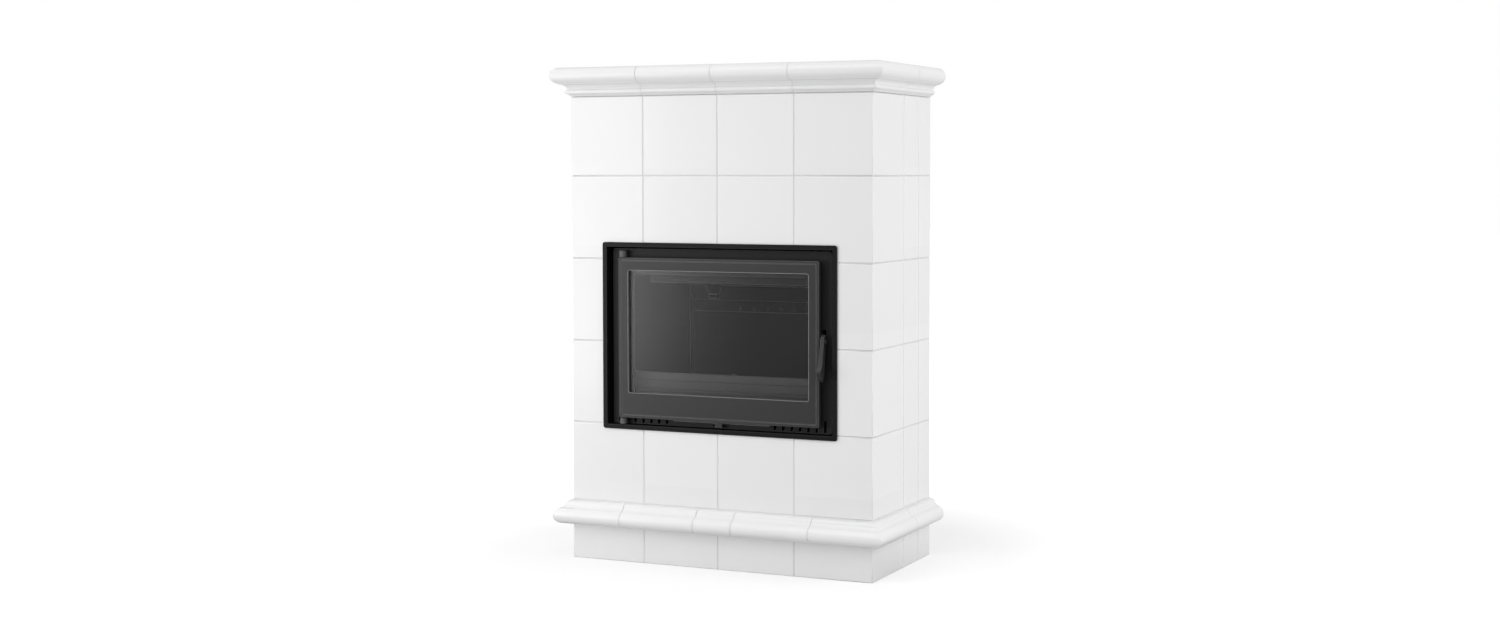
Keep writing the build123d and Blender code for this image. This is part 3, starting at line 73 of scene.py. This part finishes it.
class Paint:
    # one node tree, of a material or of the world
    def __init__(self, owner):
        owner.use_nodes = True
        self.owner = owner
        self.tree = owner.node_tree
        self.tree.nodes.clear()

    def add(self, kind, settings=None, values=None, output=0):
        node = self.tree.nodes.new("ShaderNode" + kind)
        for name, setting in (settings or {}).items():
            if name == "stops":
                self.setStops(node.color_ramp, setting)
            else:
                setattr(node, name, setting)
        for name, value in (values or {}).items():
            if isinstance(value, Wire):
                self.tree.links.new(value.socket, node.inputs[name])
            else:
                node.inputs[name].default_value = value
        if node.outputs:
            return Wire(self, node.outputs[output])

    def setStops(self, ramp, stops):
        for number, (place, level) in enumerate(stops):
            stop = ramp.elements[number] if number < 2 else ramp.elements.new(place)
            stop.position = place
            stop.color = (level, level, level, 1)

    def places(self):
        return self.add("TexCoord", output="Object")

    def across(self):
        # how far to the right a point is; its siblings "Y" and "Z" are the depth and the height
        return self.add("SeparateXYZ", None, {"Vector": self.places()})

    def noise(self, scale, detail=2.0, roughness=0.5, where=None):
        values = {"Vector": where or self.places(), "Scale": scale, "Detail": detail, "Roughness": roughness}
        return self.add("TexNoise", None, values)

    def ramp(self, mask, low, high):
        return self.add("ValToRGB", {"stops": [(low, 0.0), (high, 1.0)]}, {"Fac": mask})

    def clamp(self, value):
        return self.add("Clamp", None, {"Value": value})

    def mixColour(self, mask, first, second):
        return self.add("Mix", {"data_type": "RGBA"}, {0: mask, 6: first, 7: second}, 2)

    def mixShader(self, share, first, second):
        return self.add("MixShader", None, {0: share, 1: first, 2: second})

    def spreadTone(self, mask, tone, spread):
        # a grey that goes with the mask from spread under the tone to spread over it
        return self.mixColour(mask, grey(tone - spread), grey(tone + spread))

    def bump(self, height, depth, strength=1.0, under=None):
        values = {"Height": height, "Distance": depth, "Strength": strength}
        if under:
            values["Normal"] = under
        return self.add("Bump", None, values)

    def edges(self, radius, samples=8, steepness=6):
        # 1 on an outer edge, fading to 0 within the radius; it places the painted edge highlights
        rounded = self.add("Bevel", {"samples": samples}, {"Radius": radius})
        flat = self.add("NewGeometry", output="Normal")
        match = self.add("VectorMath", {"operation": "DOT_PRODUCT"}, {0: rounded, 1: flat}, "Value")
        return self.clamp((1 - match) * steepness)


white = (1, 1, 1, 1)


def grey(level):
    # a grey as a picture shows it, 0 to 255, in the linear value that the shader takes (the sRGB curve)
    share = level / 255
    linear = share / 12.92 if share <= 0.04045 else ((share + 0.055) / 1.055) ** 2.4
    return (linear, linear, linear, 1)


def newPaint(name):
    return Paint(bpy.data.materials.new(name))


def showSurface(paint, surface):
    paint.add("OutputMaterial", None, {"Surface": surface})
    return paint.owner


# finishes; sizes, widths and depths are in metres and scales are per metre, tones are greys from 0 to 255, and
# a roughness is that of the smoothest spots, to which the finish's own pattern adds its roughSpread

glaze = {"tone": 245, "toneSpread": 2.5, "tileShare": 0.6, "tileWidth": 0.222, "tileHeight": 0.214,
         "cloudScale": 7, "cloudDetail": 3, "roughness": 0.2, "roughSpread": 0.08, "speckScale": 60, "gloss": 0.4,
         "coat": 0.2, "coatRoughness": 0.06, "waveSize": 0.16, "waveDepth": 0.0007, "waveStrength": 0.5,
         "peelSize": 0.009, "peelDepth": 0.00003, "peelStrength": 0.4}


def glazeFinish():
    # each tile has its own tone, with slow clouds over it; the face waves a little, under a fine orange peel
    paint = newPaint("whiteGlaze")
    tileSize = (glaze["tileWidth"], glaze["tileWidth"], glaze["tileHeight"])
    cell = paint.add("VectorMath", {"operation": "DIVIDE"}, {0: paint.places(), 1: tileSize})
    cell = paint.add("VectorMath", {"operation": "FLOOR"}, {0: cell})
    tileTone = paint.add("TexWhiteNoise", {"noise_dimensions": "3D"}, {"Vector": cell}, "Value")
    cloud = paint.noise(glaze["cloudScale"], glaze["cloudDetail"])
    tone = tileTone * glaze["tileShare"] + cloud * (1 - glaze["tileShare"])
    wave = paint.bump(paint.noise(1 / glaze["waveSize"], 1), glaze["waveDepth"], glaze["waveStrength"])
    peel = paint.bump(paint.noise(1 / glaze["peelSize"], 1), glaze["peelDepth"], glaze["peelStrength"], wave)
    speck = paint.noise(glaze["speckScale"])
    shader = paint.add("BsdfPrincipled", None, {
        "Base Color": paint.spreadTone(tone, glaze["tone"], glaze["toneSpread"]),
        "Roughness": speck * glaze["roughSpread"] + glaze["roughness"],
        "Specular IOR Level": glaze["gloss"],
        "Coat Weight": glaze["coat"],
        "Coat Roughness": glaze["coatRoughness"],
        "Normal": peel,
    })
    return showSurface(paint, shader)


grout = {"darkTone": 225, "paleTone": 238, "grainScale": 1400, "grainDepth": 0.0002, "grainStrength": 0.6,
         "roughness": 0.9}


def groutFinish():
    paint = newPaint("jointGrout")
    grain = paint.noise(grout["grainScale"])
    shader = paint.add("BsdfPrincipled", None, {
        "Base Color": paint.mixColour(grain, grey(grout["darkTone"]), grey(grout["paleTone"])),
        "Roughness": grout["roughness"],
        "Normal": paint.bump(grain, grout["grainDepth"], grout["grainStrength"]),
    })
    return showSurface(paint, shader)


def insideMask(paint, area):
    # 1 inside a rectangle on the front, fading to 0 at its border
    place = paint.across()
    aside = paint.add("Math", {"operation": "ABSOLUTE"}, {0: place})
    height = place.sibling("Z")
    reach = paint.add("Math", {"operation": "ABSOLUTE"}, {0: height - (area["low"] + area["high"]) / 2})
    sideFade = (area["half"] - aside) * (1 / area["fade"])
    heightFade = ((area["high"] - area["low"]) / 2 - reach) * (1 / area["fade"])
    return paint.clamp(sideFade) * paint.clamp(heightFade)


# the edge tones and widths paint a highlight along each piece's outer edges, a painted highlight
ironLooks = {
    "castIron": {"tone": 53, "toneSpread": 3, "edgeHighlightTone": 116, "edgeHighlightWidth": 0.0024, "roughness": 0.31,
                 "gloss": 0.45, "grainSize": 0.0011, "grainDepth": 0.00003},
    "plateIron": {"tone": 38, "toneSpread": 3, "edgeHighlightTone": 66, "edgeHighlightWidth": 0.002, "roughness": 0.39,
                  "gloss": 0.25, "grainSize": 0.0011, "grainDepth": 0.00003},
    "rimSteel": {"tone": 24, "toneSpread": 2, "edgeHighlightTone": 62, "edgeHighlightWidth": 0.003, "roughness": 0.34,
                 "gloss": 0.2, "grainSize": 0.0007, "grainDepth": 0.00002},
    "fireIron": {"tone": 78, "toneSpread": 4, "edgeHighlightTone": 170, "edgeHighlightWidth": 0.004, "roughness": 0.49,
                 "gloss": 0.3, "grainSize": 0.0014, "grainDepth": 0.00004},
    "coverSteel": {"tone": 34, "toneSpread": 3, "roughness": 0.49, "gloss": 0.3, "grainSize": 0.0007,
                   "grainDepth": 0.00003},
    "guardIron": {"tone": 122, "toneSpread": 4, "roughness": 0.39, "gloss": 0.4, "grainSize": 0.0014,
                  "grainDepth": 0.00004},
    "boltSteel": {"tone": 58, "toneSpread": 4, "roughness": 0.29, "gloss": 0.5, "grainSize": 0.0006,
                  "grainDepth": 0.00002},
}
ironGrain = {"cloudScale": 9, "cloudDetail": 4, "grainDetail": 3, "fineness": 0.6, "cloudShare": 0.5,
             "cloudRoughSpread": 0.12, "grainRoughSpread": 0.1, "grainStrength": 0.5}


def grainMasks(paint, look):
    # slow clouds, fine grain, and the two together
    cloud = paint.noise(ironGrain["cloudScale"], ironGrain["cloudDetail"], ironGrain["fineness"])
    grain = paint.noise(1 / look["grainSize"], ironGrain["grainDetail"], ironGrain["fineness"])
    both = cloud * ironGrain["cloudShare"] + grain * (1 - ironGrain["cloudShare"])
    return cloud, grain, both


def ironShader(paint, look, colour, cloud, grain):
    pattern = cloud * ironGrain["cloudRoughSpread"] + grain * ironGrain["grainRoughSpread"]
    return paint.add("BsdfPrincipled", None, {
        "Base Color": colour,
        "Roughness": pattern + look["roughness"],
        "Specular IOR Level": look["gloss"],
        "Normal": paint.bump(grain, look["grainDepth"], ironGrain["grainStrength"]),
    })


def ironFinish(name, look, area=None):
    # painted or raw iron: a cloudy tone with the fine grain of the casting or of the powder coat, and a painted
    # highlight along the edges where the look has one, brighter still within the area
    paint = newPaint(name)
    cloud, grain, both = grainMasks(paint, look)
    colour = paint.spreadTone(both, look["tone"], look["toneSpread"])
    # painted highlight along the edges, brighter within the area
    if "edgeHighlightTone" in look:
        edgeHighlightColour = grey(look["edgeHighlightTone"])
        if area:
            edgeHighlightColour = paint.mixColour(insideMask(paint, area), edgeHighlightColour, grey(area["tone"]))
        colour = paint.mixColour(paint.edges(look["edgeHighlightWidth"]), colour, edgeHighlightColour)
    return showSurface(paint, ironShader(paint, look, colour, cloud, grain))


# a painted highlight on the door's edge round its window, where the light catches it
windowEdgeHighlight = {"half": 0.2695, "low": 0.4585, "high": 0.7965, "fade": 0.001, "tone": 200}

# painted light on the front plate inside the door seal, and a painted highlight on its hinge lugs, which stand in
# front of lugFront
plateLightPatches = {"half": 0.289, "low": 0.434, "high": 0.820, "fade": 0.004, "innerLitTone": 110, "lugHighlightTone": 100,
             "lugFront": -0.178}


def plateFinish():
    # the insert's front plate: dark paint, kept darker than the door's iron as painted shade, with painted light
    # inside the door seal and a painted highlight on the hinge lugs and along its edges
    paint = newPaint("plateIron")
    look = ironLooks["plateIron"]
    cloud, grain, both = grainMasks(paint, look)
    # the plate's dark paint, darker than the door's iron, stands in for the shade round the door
    outer = paint.spreadTone(both, look["tone"], look["toneSpread"])
    # painted highlight on the hinge lugs, which stand in front of lugFront
    proud = (plateLightPatches["lugFront"] - paint.across().sibling("Y")) * (1 / plateLightPatches["fade"])
    outer = paint.mixColour(paint.clamp(proud), outer, grey(plateLightPatches["lugHighlightTone"]))
    # painted light on the plate inside the door seal
    inner = paint.spreadTone(both, plateLightPatches["innerLitTone"], look["toneSpread"])
    colour = paint.mixColour(insideMask(paint, plateLightPatches), outer, inner)
    # painted highlight along the plate's edges
    colour = paint.mixColour(paint.edges(look["edgeHighlightWidth"]), colour, grey(look["edgeHighlightTone"]))
    return showSurface(paint, ironShader(paint, look, colour, cloud, grain))


barSteel = {"darkTone": 196, "paleTone": 224, "roughness": 0.22, "roughSpread": 0.15, "scale": (4, 900, 900),
            "streakDetail": 3, "fineness": 0.6, "streakDepth": 0.00004, "streakStrength": 0.4}


def brightSteelFinish():
    # brushed along its length, across the stove
    paint = newPaint("brushedSteel")
    stretched = paint.add("Mapping", None, {"Vector": paint.places(), "Scale": barSteel["scale"]})
    streak = paint.noise(1, barSteel["streakDetail"], barSteel["fineness"], stretched)
    shader = paint.add("BsdfPrincipled", None, {
        "Base Color": paint.mixColour(streak, grey(barSteel["darkTone"]), grey(barSteel["paleTone"])),
        "Metallic": 1.0,
        "Roughness": streak * barSteel["roughSpread"] + barSteel["roughness"],
        "Normal": paint.bump(streak, barSteel["streakDepth"], barSteel["streakStrength"]),
    })
    return showSurface(paint, shader)


zincCoat = {"darkTone": 168, "paleTone": 190, "roughness": 0.34, "roughSpread": 0.12, "spangleScale": 60}


def zincFinish():
    paint = newPaint("zincPlate")
    spangle = paint.add("TexVoronoi", None, {"Vector": paint.places(), "Scale": zincCoat["spangleScale"]}, "Color")
    shade = paint.add("RGBToBW", None, {"Color": spangle})
    shader = paint.add("BsdfPrincipled", None, {
        "Base Color": paint.mixColour(shade, grey(zincCoat["darkTone"]), grey(zincCoat["paleTone"])),
        "Metallic": 1.0,
        "Roughness": shade * zincCoat["roughSpread"] + zincCoat["roughness"],
    })
    return showSurface(paint, shader)


board = {"darkTone": 196, "paleTone": 216, "roughness": 0.92, "fleckScale": 260, "fleckStart": 0.45,
         "fleckFull": 0.6, "fleckDepth": 0.0003, "fleckStrength": 0.4}


def boardFinish():
    # pale insulating board, with flecks
    paint = newPaint("liningBoard")
    fleck = paint.ramp(paint.noise(board["fleckScale"]), board["fleckStart"], board["fleckFull"])
    shader = paint.add("BsdfPrincipled", None, {
        "Base Color": paint.mixColour(fleck, grey(board["darkTone"]), grey(board["paleTone"])),
        "Roughness": board["roughness"],
        "Normal": paint.bump(fleck, board["fleckDepth"], board["fleckStrength"]),
    })
    return showSurface(paint, shader)


slab = {"darkTone": 140, "paleTone": 172, "roughness": 0.95, "gritScale": 180, "gritDetail": 4, "fineness": 0.7,
        "gritDepth": 0.0008, "gritStrength": 0.5}


def slabFinish():
    paint = newPaint("castSlab")
    grit = paint.noise(slab["gritScale"], slab["gritDetail"], slab["fineness"])
    shader = paint.add("BsdfPrincipled", None, {
        "Base Color": paint.mixColour(grit, grey(slab["darkTone"]), grey(slab["paleTone"])),
        "Roughness": slab["roughness"],
        "Normal": paint.bump(grit, slab["gritDepth"], slab["gritStrength"]),
    })
    return showSurface(paint, shader)


rope = {"darkTone": 60, "paleTone": 92, "roughness": 0.95, "sheen": 0.2, "knitScale": 620, "knitDepth": 0.0006,
        "knitStrength": 0.6}


def ropeFinish():
    # glass-fibre rope, a dark grey knit, darker between its strands
    paint = newPaint("sealRope")
    knit = paint.add("TexVoronoi", None, {"Vector": paint.places(), "Scale": rope["knitScale"]}, "Distance")
    shader = paint.add("BsdfPrincipled", None, {
        "Base Color": paint.mixColour(knit, grey(rope["paleTone"]), grey(rope["darkTone"])),
        "Roughness": rope["roughness"],
        "Sheen Weight": rope["sheen"],
        "Normal": paint.bump(knit, rope["knitDepth"], rope["knitStrength"]),
    })
    return showSurface(paint, shader)


pane = {"clear": 0.96, "mirror": 1.05, "blur": 0.25, "bending": 1.45}


def glassFinish():
    # a clear pane: what is behind it, and a reflection that grows towards a grazing look
    paint = newPaint("paneGlass")
    glance = paint.add("Fresnel", None, {"IOR": pane["bending"]})
    clear = paint.add("BsdfTransparent", None, {"Color": (pane["clear"],) * 3 + (1,)})
    shiny = paint.add("BsdfGlossy", None, {"Color": white, "Roughness": pane["blur"]})
    return showSurface(paint, paint.mixShader(glance * pane["mirror"], clear, shiny))


print("making finishes")
whiteGlaze = glazeFinish()
jointGrout = groutFinish()
castIron = ironFinish("castIron", ironLooks["castIron"])
# the door's iron, with a painted highlight on the edge round its window
doorIron = ironFinish("doorIron", ironLooks["castIron"], windowEdgeHighlight)
plateIron = plateFinish()
rimSteel = ironFinish("rimSteel", ironLooks["rimSteel"])
coverSteel = ironFinish("coverSteel", ironLooks["coverSteel"])
fireIron = ironFinish("fireIron", ironLooks["fireIron"])
guardIron = ironFinish("guardIron", ironLooks["guardIron"])
boltSteel = ironFinish("boltSteel", ironLooks["boltSteel"])
brushedSteel = brightSteelFinish()
zincPlate = zincFinish()
liningBoard = boardFinish()
castSlab = slabFinish()
sealRope = ropeFinish()
paneGlass = glassFinish()


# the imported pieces, dressed

edgeWidths = {"tiles": 0.0022, "mouldings": 0.0028, "slab": 0.002, "trimFrame": 0.001, "frontPlate": 0.0008,
              "doorFrame": 0.0016, "lever": 0.0009, "hookAndTab": 0.0004, "logGuard": 0.0008}
softening = {"weldGap": 0.00001, "flatAngle": 0.6, "sharpAngle": 40, "segments": 3}


def dress(material, names, edge=0.0):
    for name in names:
        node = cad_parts[name]
        for holder in node.material_slots:
            holder.material = material
        if edge:
            roundEdges(node, edge)


def roundEdges(node, edge):
    # makes the flat faces whole again and rounds the sharp edges, with even shading
    weld = node.modifiers.new("weld", "WELD")
    weld.merge_threshold = softening["weldGap"]
    flatten = node.modifiers.new("flatFaces", "DECIMATE")
    flatten.decimate_type = "DISSOLVE"
    flatten.angle_limit = math.radians(softening["flatAngle"])
    soften = node.modifiers.new("softEdges", "BEVEL")
    soften.width = edge
    soften.segments = softening["segments"]
    soften.limit_method = "ANGLE"
    soften.angle_limit = math.radians(softening["sharpAngle"])
    shade = node.modifiers.new("evenShade", "WEIGHTED_NORMAL")
    shade.keep_sharp = False


def bothSides(*names):
    return [name + "_" + side for name in names for side in ("left", "right")]


print("dressing the casing")
tileNodes = bothSides("corner_tiles", "side_tiles", "rear_tiles")
tileNodes += ["front_tiles_lower", "front_tiles_upper"]
tileNodes += ["plinth_corner_tiles", "plinth_front_tiles", "plinth_side_tiles"]
mouldingNodes = bothSides("cornice_corner", "cornice_front", "cornice_side")
mouldingNodes += bothSides("base_moulding_corner", "base_moulding_side") + ["base_moulding_front"]
dress(whiteGlaze, tileNodes, edgeWidths["tiles"])
dress(whiteGlaze, mouldingNodes, edgeWidths["mouldings"])
dress(jointGrout, ["joint_grout"])
dress(liningBoard, ["side_boards", "front_board_lower", "front_board_upper"])
dress(castSlab, ["base_slab"], edgeWidths["slab"])
dress(zincPlate, ["rear_panel", "insert_stand"])

print("dressing the top")
dress(coverSteel, ["top_plate", "flue_collar", "blanking_disc"])

print("dressing the insert")
dress(rimSteel, ["trim_frame"], edgeWidths["trimFrame"])
dress(plateIron, ["front_plate"], edgeWidths["frontPlate"])
dress(doorIron, ["door_frame"], edgeWidths["doorFrame"])
dress(castIron, ["handle_lever"], edgeWidths["lever"])
dress(castIron, ["latch_hook", "air_slider"], edgeWidths["hookAndTab"])
dress(fireIron, ["firebox_body", "hearth_base", "hearth_plates", "grate", "rear_air_strip",
                 "smoke_baffle", "smoke_dome", "flue_spigot", "ash_drawer"])
dress(guardIron, ["log_guard"], edgeWidths["logGuard"])
dress(boltSteel, ["mouth_screws", "clip_screws", "glass_clips", "keeper_pin", "hinge_pins", "hinge_washer",
                  "handle_pin", "rear_panel_screws"])
dress(brushedSteel, ["drawer_bar"])
dress(sealRope, ["door_seal", "glass_gasket"])
dress(paneGlass, ["door_glass"])


# pieces made here

def meshPiece(name, points, faces, material, edge, segments=2):
    mesh = bmesh.new()
    corners = [mesh.verts.new(point) for point in points]
    for face in faces:
        mesh.faces.new([corners[number] for number in face])
    bmesh.ops.recalc_face_normals(mesh, faces=mesh.faces)
    data = bpy.data.meshes.new(name)
    mesh.to_mesh(data)
    mesh.free()
    piece = bpy.data.objects.new(name, data)
    bpy.context.collection.objects.link(piece)
    data.materials.append(material)
    soften = piece.modifiers.new("softEdges", "BEVEL")
    soften.width = edge
    soften.segments = segments
    soften.limit_method = "ANGLE"
    return piece


def sweep(outline, ends, upright=False):
    # points and faces of an outline in y and z drawn out along x, or of one in x and y drawn out upwards
    count = len(outline)
    if upright:
        points = [(x, y, z) for z in ends for x, y in outline]
    else:
        points = [(x, y, z) for x in ends for y, z in outline]
    faces = [tuple(range(count)), tuple(range(2 * count - 1, count - 1, -1))]
    faces += [(n, (n + 1) % count, count + (n + 1) % count, count + n) for n in range(count)]
    return points, faces


airWash = {"left": -0.214, "right": 0.250, "foot": 0.7605, "head": 0.794, "thickness": 0.003, "gap": 0.0004,
           "lip": 0.009, "lipDrop": 0.003, "edge": 0.0006}


def makeAirWash():
    # bent strip behind the mouth's head, which turns the wash air down over the glass
    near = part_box("firebox_body")[0].y + airWash["gap"]
    inner = near + airWash["thickness"]
    lip = near + airWash["lip"]
    foot, head = airWash["foot"], airWash["head"]
    outline = [(near, head), (near, foot), (lip, foot - airWash["lipDrop"]), (lip, foot),
               (inner, foot + airWash["thickness"]), (inner, head)]
    points, faces = sweep(outline, (airWash["left"], airWash["right"]))
    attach(meshPiece("airWashStrip", points, faces, fireIron, airWash["edge"]), "stove")


cornerBead = {"left": -0.271, "right": -0.262, "shoulder": 0.0015, "foot": 0.4805, "gap": 0.0004, "proud": 0.004,
              "headGap": 0.0006, "edge": 0.0006}


def makeCornerBead():
    # upright bead on the firebox's back wall, beside its left corner
    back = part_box("rear_air_strip")[0].y - cornerBead["gap"]
    front = back - cornerBead["proud"]
    left, right, shoulder = cornerBead["left"], cornerBead["right"], cornerBead["shoulder"]
    outline = [(left, back), (left, front + shoulder), (left + shoulder, front), (right - shoulder, front),
               (right, front + shoulder), (right, back)]
    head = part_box("smoke_baffle")[0].z - cornerBead["headGap"]
    points, faces = sweep(outline, (cornerBead["foot"], head), upright=True)
    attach(meshPiece("cornerBead", points, faces, fireIron, cornerBead["edge"]), "stove")


print("adding the air wash strip and the corner bead")
makeAirWash()
makeCornerBead()


# camera, lamps and floor

# the camera's own picture is 1500 pixels wide; its angles are in degrees
view = {"place": (2.317, -4.830, 1.0526), "azimuth": 23.566, "elevation": 2.576, "focalPixels": 1962.4,
        "centrePixel": (819, 262), "picture": (1500, 644), "sensor": 36}


def makeCamera():
    camera = bpy.data.objects.new("camera", bpy.data.cameras.new("camera"))
    bpy.context.collection.objects.link(camera)
    width, height = view["picture"]
    azimuth = math.radians(view["azimuth"])
    elevation = math.radians(view["elevation"])
    towards = Vector((-math.sin(azimuth) * math.cos(elevation), math.cos(azimuth) * math.cos(elevation),
                      -math.sin(elevation)))
    camera.location = view["place"]
    camera.rotation_euler = towards.to_track_quat("-Z", "Y").to_euler()
    camera.data.sensor_width = view["sensor"]
    camera.data.lens = view["sensor"] * view["focalPixels"] / width
    camera.data.shift_x = (width / 2 - view["centrePixel"][0]) / width
    camera.data.shift_y = (view["centrePixel"][1] - height / 2) / width
    bpy.context.scene.camera = camera


lamps = {
    "softKey": {"place": (-2.4, -2.3, 1.0), "aim": (-0.2, 0, 0.75), "size": (2.0, 1.8), "power": 22.5},
    "lowLeft": {"place": (-2.6, -2.0, 0.35), "aim": (-0.3, 0, 0.3), "size": (1.6, 0.6), "power": 15},
    "highFront": {"place": (-0.4, -2.6, 3.2), "aim": (0, 0, 1.2), "size": (2.4, 1.6), "power": 20},
    "rightSide": {"place": (3.6, 0.0, 1.45), "aim": (0.4, 0, 0.7), "size": (2.4, 2.4), "power": 44},
}


def makeLamp(name, lamp):
    light = bpy.data.lights.new(name, "AREA")
    light.shape = "RECTANGLE"
    light.size, light.size_y = lamp["size"]
    light.energy = lamp["power"]
    holder = bpy.data.objects.new(name, light)
    bpy.context.collection.objects.link(holder)
    holder.location = lamp["place"]
    holder.rotation_euler = (Vector(lamp["aim"]) - Vector(lamp["place"])).to_track_quat("-Z", "Y").to_euler()


def seenOnly(paint):
    # 1 for what the camera sees directly or through glass
    direct = paint.add("LightPath", output="Is Camera Ray")
    return paint.clamp(direct + direct.sibling("Is Transmission Ray"))


def plainLight(paint, kind, strength):
    return paint.add(kind, None, {"Color": white, "Strength": strength})


# the rises say how quickly the mirrored studio brightens towards the back and overhead
studio = {"ambient": 0.65, "backdrop": 1.0, "mirrored": 0.12, "mirroredBright": 0.75, "behindRise": 2,
          "overheadFrom": 0.3, "overheadRise": 2.5}


def mirroredStudio(paint, kind, bright):
    dimSide = plainLight(paint, kind, studio["mirrored"])
    brightSide = plainLight(paint, kind, studio["mirroredBright"])
    return paint.mixShader(bright, dimSide, brightSide)


def makeWorld():
    # white where the camera looks, and a plain light for everything else; what shines mirrors a bright studio
    # behind and overhead, and a dim one in front, which keeps the door's pane clear
    world = bpy.data.worlds.new("studio")
    bpy.context.scene.world = world
    paint = Paint(world)
    heading = paint.add("SeparateXYZ", None, {"Vector": paint.add("TexCoord", output="Generated")})
    behind = heading.sibling("Y") * studio["behindRise"]
    overhead = (heading.sibling("Z") - studio["overheadFrom"]) * studio["overheadRise"]
    bright = paint.clamp(paint.add("Math", {"operation": "MAXIMUM"}, {0: behind, 1: overhead}))
    light = plainLight(paint, "Background", studio["ambient"])
    glossy = paint.add("LightPath", output="Is Glossy Ray")
    lit = paint.mixShader(glossy, light, mirroredStudio(paint, "Background", bright))
    backdrop = plainLight(paint, "Background", studio["backdrop"])
    paint.add("OutputWorld", None, {"Surface": paint.mixShader(seenOnly(paint), lit, backdrop)})


# near and far are the distances at which the paper starts to shine by itself and reaches its full glow
floorPaper = {"tone": 198, "seenTone": 252, "glow": 1.3, "nearShare": 0.68, "near": 0.7, "far": 1.8,
              "behindRise": 2, "size": 60}


def makeFloor():
    # plain pale paper: lit near the stove, so that it holds the shadow, and evenly bright further off; what
    # shines mirrors it as it does the studio
    mesh = bmesh.new()
    bmesh.ops.create_grid(mesh, x_segments=2, y_segments=2, size=floorPaper["size"] / 2)
    data = bpy.data.meshes.new("floor")
    mesh.to_mesh(data)
    mesh.free()
    floor = bpy.data.objects.new("floor", data)
    bpy.context.collection.objects.link(floor)
    paint = newPaint("floorPaper")
    lit = paint.add("BsdfDiffuse", None, {"Color": grey(floorPaper["tone"])})
    paper = paint.add("BsdfDiffuse", None, {"Color": grey(floorPaper["seenTone"])})
    plain = plainLight(paint, "Emission", floorPaper["glow"])
    reach = paint.add("VectorMath", {"operation": "LENGTH"}, {0: paint.places()}, "Value")
    span = floorPaper["far"] - floorPaper["near"]
    fade = paint.clamp((reach - floorPaper["near"]) * (1 / span))
    plainShare = fade * floorPaper["nearShare"] + (1 - floorPaper["nearShare"])
    seen = paint.mixShader(seenOnly(paint), lit, paint.mixShader(plainShare, paper, plain))
    behind = paint.clamp(paint.across().sibling("Y") * floorPaper["behindRise"])
    glossy = paint.add("LightPath", output="Is Glossy Ray")
    shown = paint.mixShader(glossy, seen, mirroredStudio(paint, "Emission", behind))
    data.materials.append(showSurface(paint, shown))


print("setting the studio")
bpy.context.scene.view_settings.view_transform = "Standard"
makeCamera()
for name, lamp in lamps.items():
    makeLamp(name, lamp)
makeWorld()
makeFloor()

print("done")
